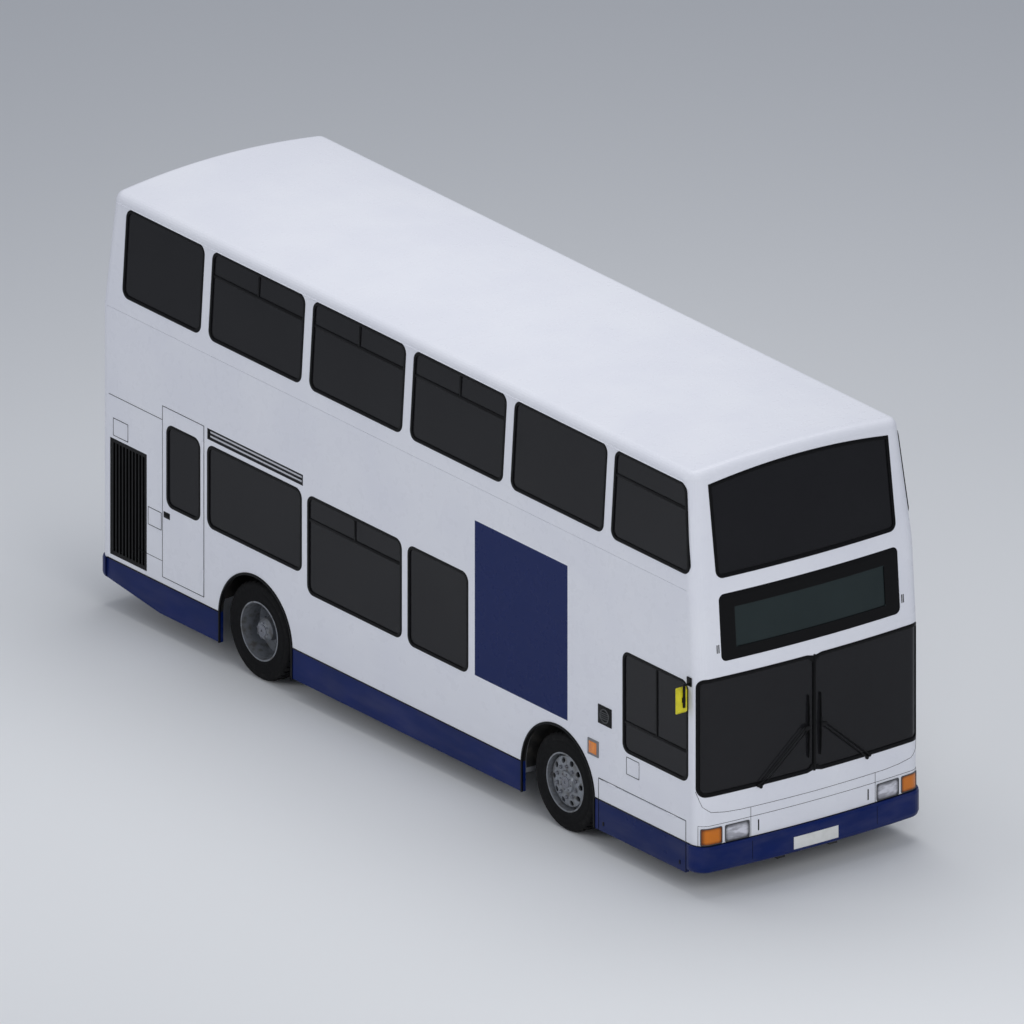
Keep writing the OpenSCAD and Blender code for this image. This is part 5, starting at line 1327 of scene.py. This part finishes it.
def stuffed(name, size, cap=0.024, channels=()):
    """A pad, size wide (X), deep (Y) and thick (Z) with its low corner at the origin. It is
    filled out by pressure from inside, then sewn down along its channels: (axis, place)."""
    voxel, steps, channel_half, channel_depth = 0.024, 20, 0.026, 0.011
    small = [s - 0.020 for s in size]
    pad = block([0.010] * 3, [0.010 + s for s in small], min(small) * 0.28, 3)
    apply_modifier(pad, "REMESH", mode="VOXEL", voxel_size=voxel)
    start = [v.co.copy() for v in pad.data.vertices]
    only(pad)
    cloth = pad.modifiers.new("filling", "CLOTH")
    cloth.settings.use_pressure = True
    cloth.settings.uniform_pressure_force = 4.0
    cloth.settings.effector_weights.gravity = 0.0
    cloth.settings.quality = 4
    for step in range(1, steps + 1):
        bpy.context.scene.frame_set(step)
    bpy.ops.object.modifier_apply(modifier=cloth.name)
    bpy.context.scene.frame_set(1)
    for vertex, first in zip(pad.data.vertices, start):
        shift = vertex.co - first
        if shift.length > cap:
            shift *= cap / shift.length
        vertex.co = first + shift
        for i in range(3):
            vertex.co[i] = min(max(vertex.co[i], 0.0), size[i])
    apply_modifier(pad, "SUBSURF", levels=1, render_levels=1)
    for axis, place in channels:
        for vertex in pad.data.vertices:
            near = abs(vertex.co[axis] - place)
            if near < channel_half and vertex.co.z > size[2] * 0.45:
                vertex.co.z -= channel_depth * (1.0 - (near / channel_half) ** 2)
    only(pad)
    pad.name = pad.data.name = name
    return pad


SEAT_WIDE, SEAT_DEEP, SEAT_THICK = 0.848, 0.400, 0.090
BACK_HIGH, BACK_THICK = 0.600, 0.060
cushion = stuffed("cushion", (SEAT_WIDE, SEAT_DEEP, SEAT_THICK), channels=((0, SEAT_WIDE / 2),))
back = stuffed(
    "back", (SEAT_WIDE, BACK_HIGH, BACK_THICK), 0.020, ((0, SEAT_WIDE / 2), (1, 0.20), (1, 0.44))
)
UPRIGHT = Matrix(((1, 0, 0, 0), (0, 0, -1, 0), (0, 1, 0, 0), (0, 0, 0, 1)))


def seat(name, x0, y, z, rise=0.360, wide=SEAT_WIDE):
    """A cushion and back in place: x0 is the pads' low edge, y their front, z the floor."""
    spread = Matrix.Diagonal((wide / SEAT_WIDE, 1.0, 1.0, 1.0))
    made = joined(name, [
        moved(cushion, Matrix.Translation((x0, y, z + rise)) @ spread),
        moved(back, Matrix.Translation((x0, y + 0.4004 + BACK_THICK, z + rise + 0.020)) @ UPRIGHT @ spread),
    ])
    fitted(made, moquette, "bus_body", 60.0)
    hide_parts("seat_cushions")


LOWER_Z, ARCH_TOP_Z, UPPER_Z = 0.430, 1.0514, 2.330
NEARSIDE_X, OFFSIDE_X = 0.336, -1.184
for i in range(4):
    seat("seat_lower_nearside_%d" % i, NEARSIDE_X, -1.720 + 0.770 * i, LOWER_Z)
for i in range(3):
    seat("seat_lower_offside_%d" % i, OFFSIDE_X, -0.950 + 0.770 * i, LOWER_Z)
for i, y in enumerate((1.760, 2.330)):
    for side, x in (("nearside", NEARSIDE_X), ("offside", OFFSIDE_X)):
        seat("seat_over_wheel_%s_%d" % (side, i), x, y, ARCH_TOP_Z, 0.030)
for i in range(10):
    seat("seat_upper_nearside_%d" % i, NEARSIDE_X, -4.010 + 0.770 * i, UPPER_Z)
seat("seat_upper_offside_0", OFFSIDE_X, -4.010, UPPER_Z)
for i in range(7):
    seat("seat_upper_offside_%d" % (i + 1), OFFSIDE_X, -4.010 + 0.770 * (i + 3.45), UPPER_Z)
seat("seat_lower_bench", -0.554, 3.210, 0.660, wide=1.723)
seat("seat_upper_bench", -1.169, 3.980, UPPER_Z, wide=2.338)
removed(cushion, back)

# ---- Driver's seat ----
# A separate sprung seat on a steel pedestal: a moulded pan, and a fabric cushion, back and
# headrest.
DRIVER_X = -0.860
pedestal = joined("driver_seat_pedestal", [
    block((DRIVER_X - 0.150, -3.830, 0.4305), (DRIVER_X + 0.150, -3.530, 0.470), 0.008),
    block((DRIVER_X - 0.060, -3.740, 0.468), (DRIVER_X + 0.060, -3.620, 0.762), 0.012),
    block((DRIVER_X - 0.220, -3.900, 0.760), (DRIVER_X + 0.220, -3.440, 0.790), 0.012),
])
fitted(pedestal, shell_grey, "bus_body")
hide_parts("driver_seat")
for name, size, matrix in (
    ("driver_cushion", (0.470, 0.440, 0.099), Matrix.Translation((DRIVER_X - 0.235, -3.930, 0.7905))),
    (
        "driver_back", (0.470, 0.720, 0.062),
        Matrix.Translation((DRIVER_X - 0.235, -3.4405, 0.790)) @ UPRIGHT
    ),
    (
        "driver_headrest", (0.260, 0.168, 0.062),
        Matrix.Translation((DRIVER_X - 0.130, -3.4405, 1.511)) @ UPRIGHT
    ),
):
    pad = stuffed(name, size, 0.022, ((1, size[1] * 0.3),) if name != "driver_headrest" else ())
    pad.data.transform(matrix)
    fitted(pad, moquette, "bus_body", 60.0)
    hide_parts("driver_seat")

# ---- Studio ----
# A plain pale floor under soft lights: a wide one overhead, a gentle one in front and a weak one
# behind. The view is parallel, from above the offside front corner.
studio_floor = Finish("studio_floor", (0.80, 0.81, 0.82), 0.75)
studio_floor.bump(studio_floor.noise(40.0), 0.05, 0.001)
ground = new_piece(
    "studio_floor", bpy.ops.mesh.primitive_grid_add, x_subdivisions=8, y_subdivisions=8, size=500.0
)
ground.data.materials.append(studio_floor.material)

bpy.context.scene.view_settings.view_transform = "Standard"
world = bpy.data.worlds.new("studio")
bpy.context.scene.world = world
world.use_nodes = True
world.node_tree.nodes["Background"].inputs["Color"].default_value = (0.74, 0.79, 0.90, 1.0)
world.node_tree.nodes["Background"].inputs["Strength"].default_value = 0.40


def softbox(name, place, size, power):
    """A square light that faces the middle of the bus."""
    light = bpy.data.lights.new(name, "AREA")
    light.size = size
    light.energy = power
    lamp = bpy.data.objects.new(name, light)
    lamp.location = place
    lamp.rotation_euler = (Vector((0.0, 0.0, 2.0)) - Vector(place)).to_track_quat("-Z", "Y").to_euler()
    bpy.context.scene.collection.objects.link(lamp)


softbox("overhead", (2.0, 1.0, 16.0), 12.0, 1150.0)
softbox("front", (-5.0, -16.0, 8.0), 8.0, 700.0)
softbox("offside", (-16.0, 4.0, 8.0), 8.0, 480.0)

AZIMUTH, ELEVATION = math.radians(-36.776), math.radians(21.645)
WIDTH_SEEN = 9.429
RIGHT_OF_MIDDLE, BELOW_MIDDLE = 0.003, 1.937
towards = Vector((
    math.sin(AZIMUTH) * math.cos(ELEVATION),
    -math.cos(AZIMUTH) * math.cos(ELEVATION),
    math.sin(ELEVATION),
))
rightwards = Vector((math.cos(AZIMUTH), math.sin(AZIMUTH), 0.0))
camera = bpy.data.objects.new("camera", bpy.data.cameras.new("camera"))
camera.data.type = "ORTHO"
camera.data.ortho_scale = WIDTH_SEEN
camera.data.clip_end = 1000.0
camera.location = (
    towards * 40.0 - rightwards * RIGHT_OF_MIDDLE + towards.cross(rightwards) * BELOW_MIDDLE
)
camera.rotation_euler = (-towards).to_track_quat("-Z", "Y").to_euler()
bpy.context.scene.collection.objects.link(camera)
bpy.context.scene.camera = camera
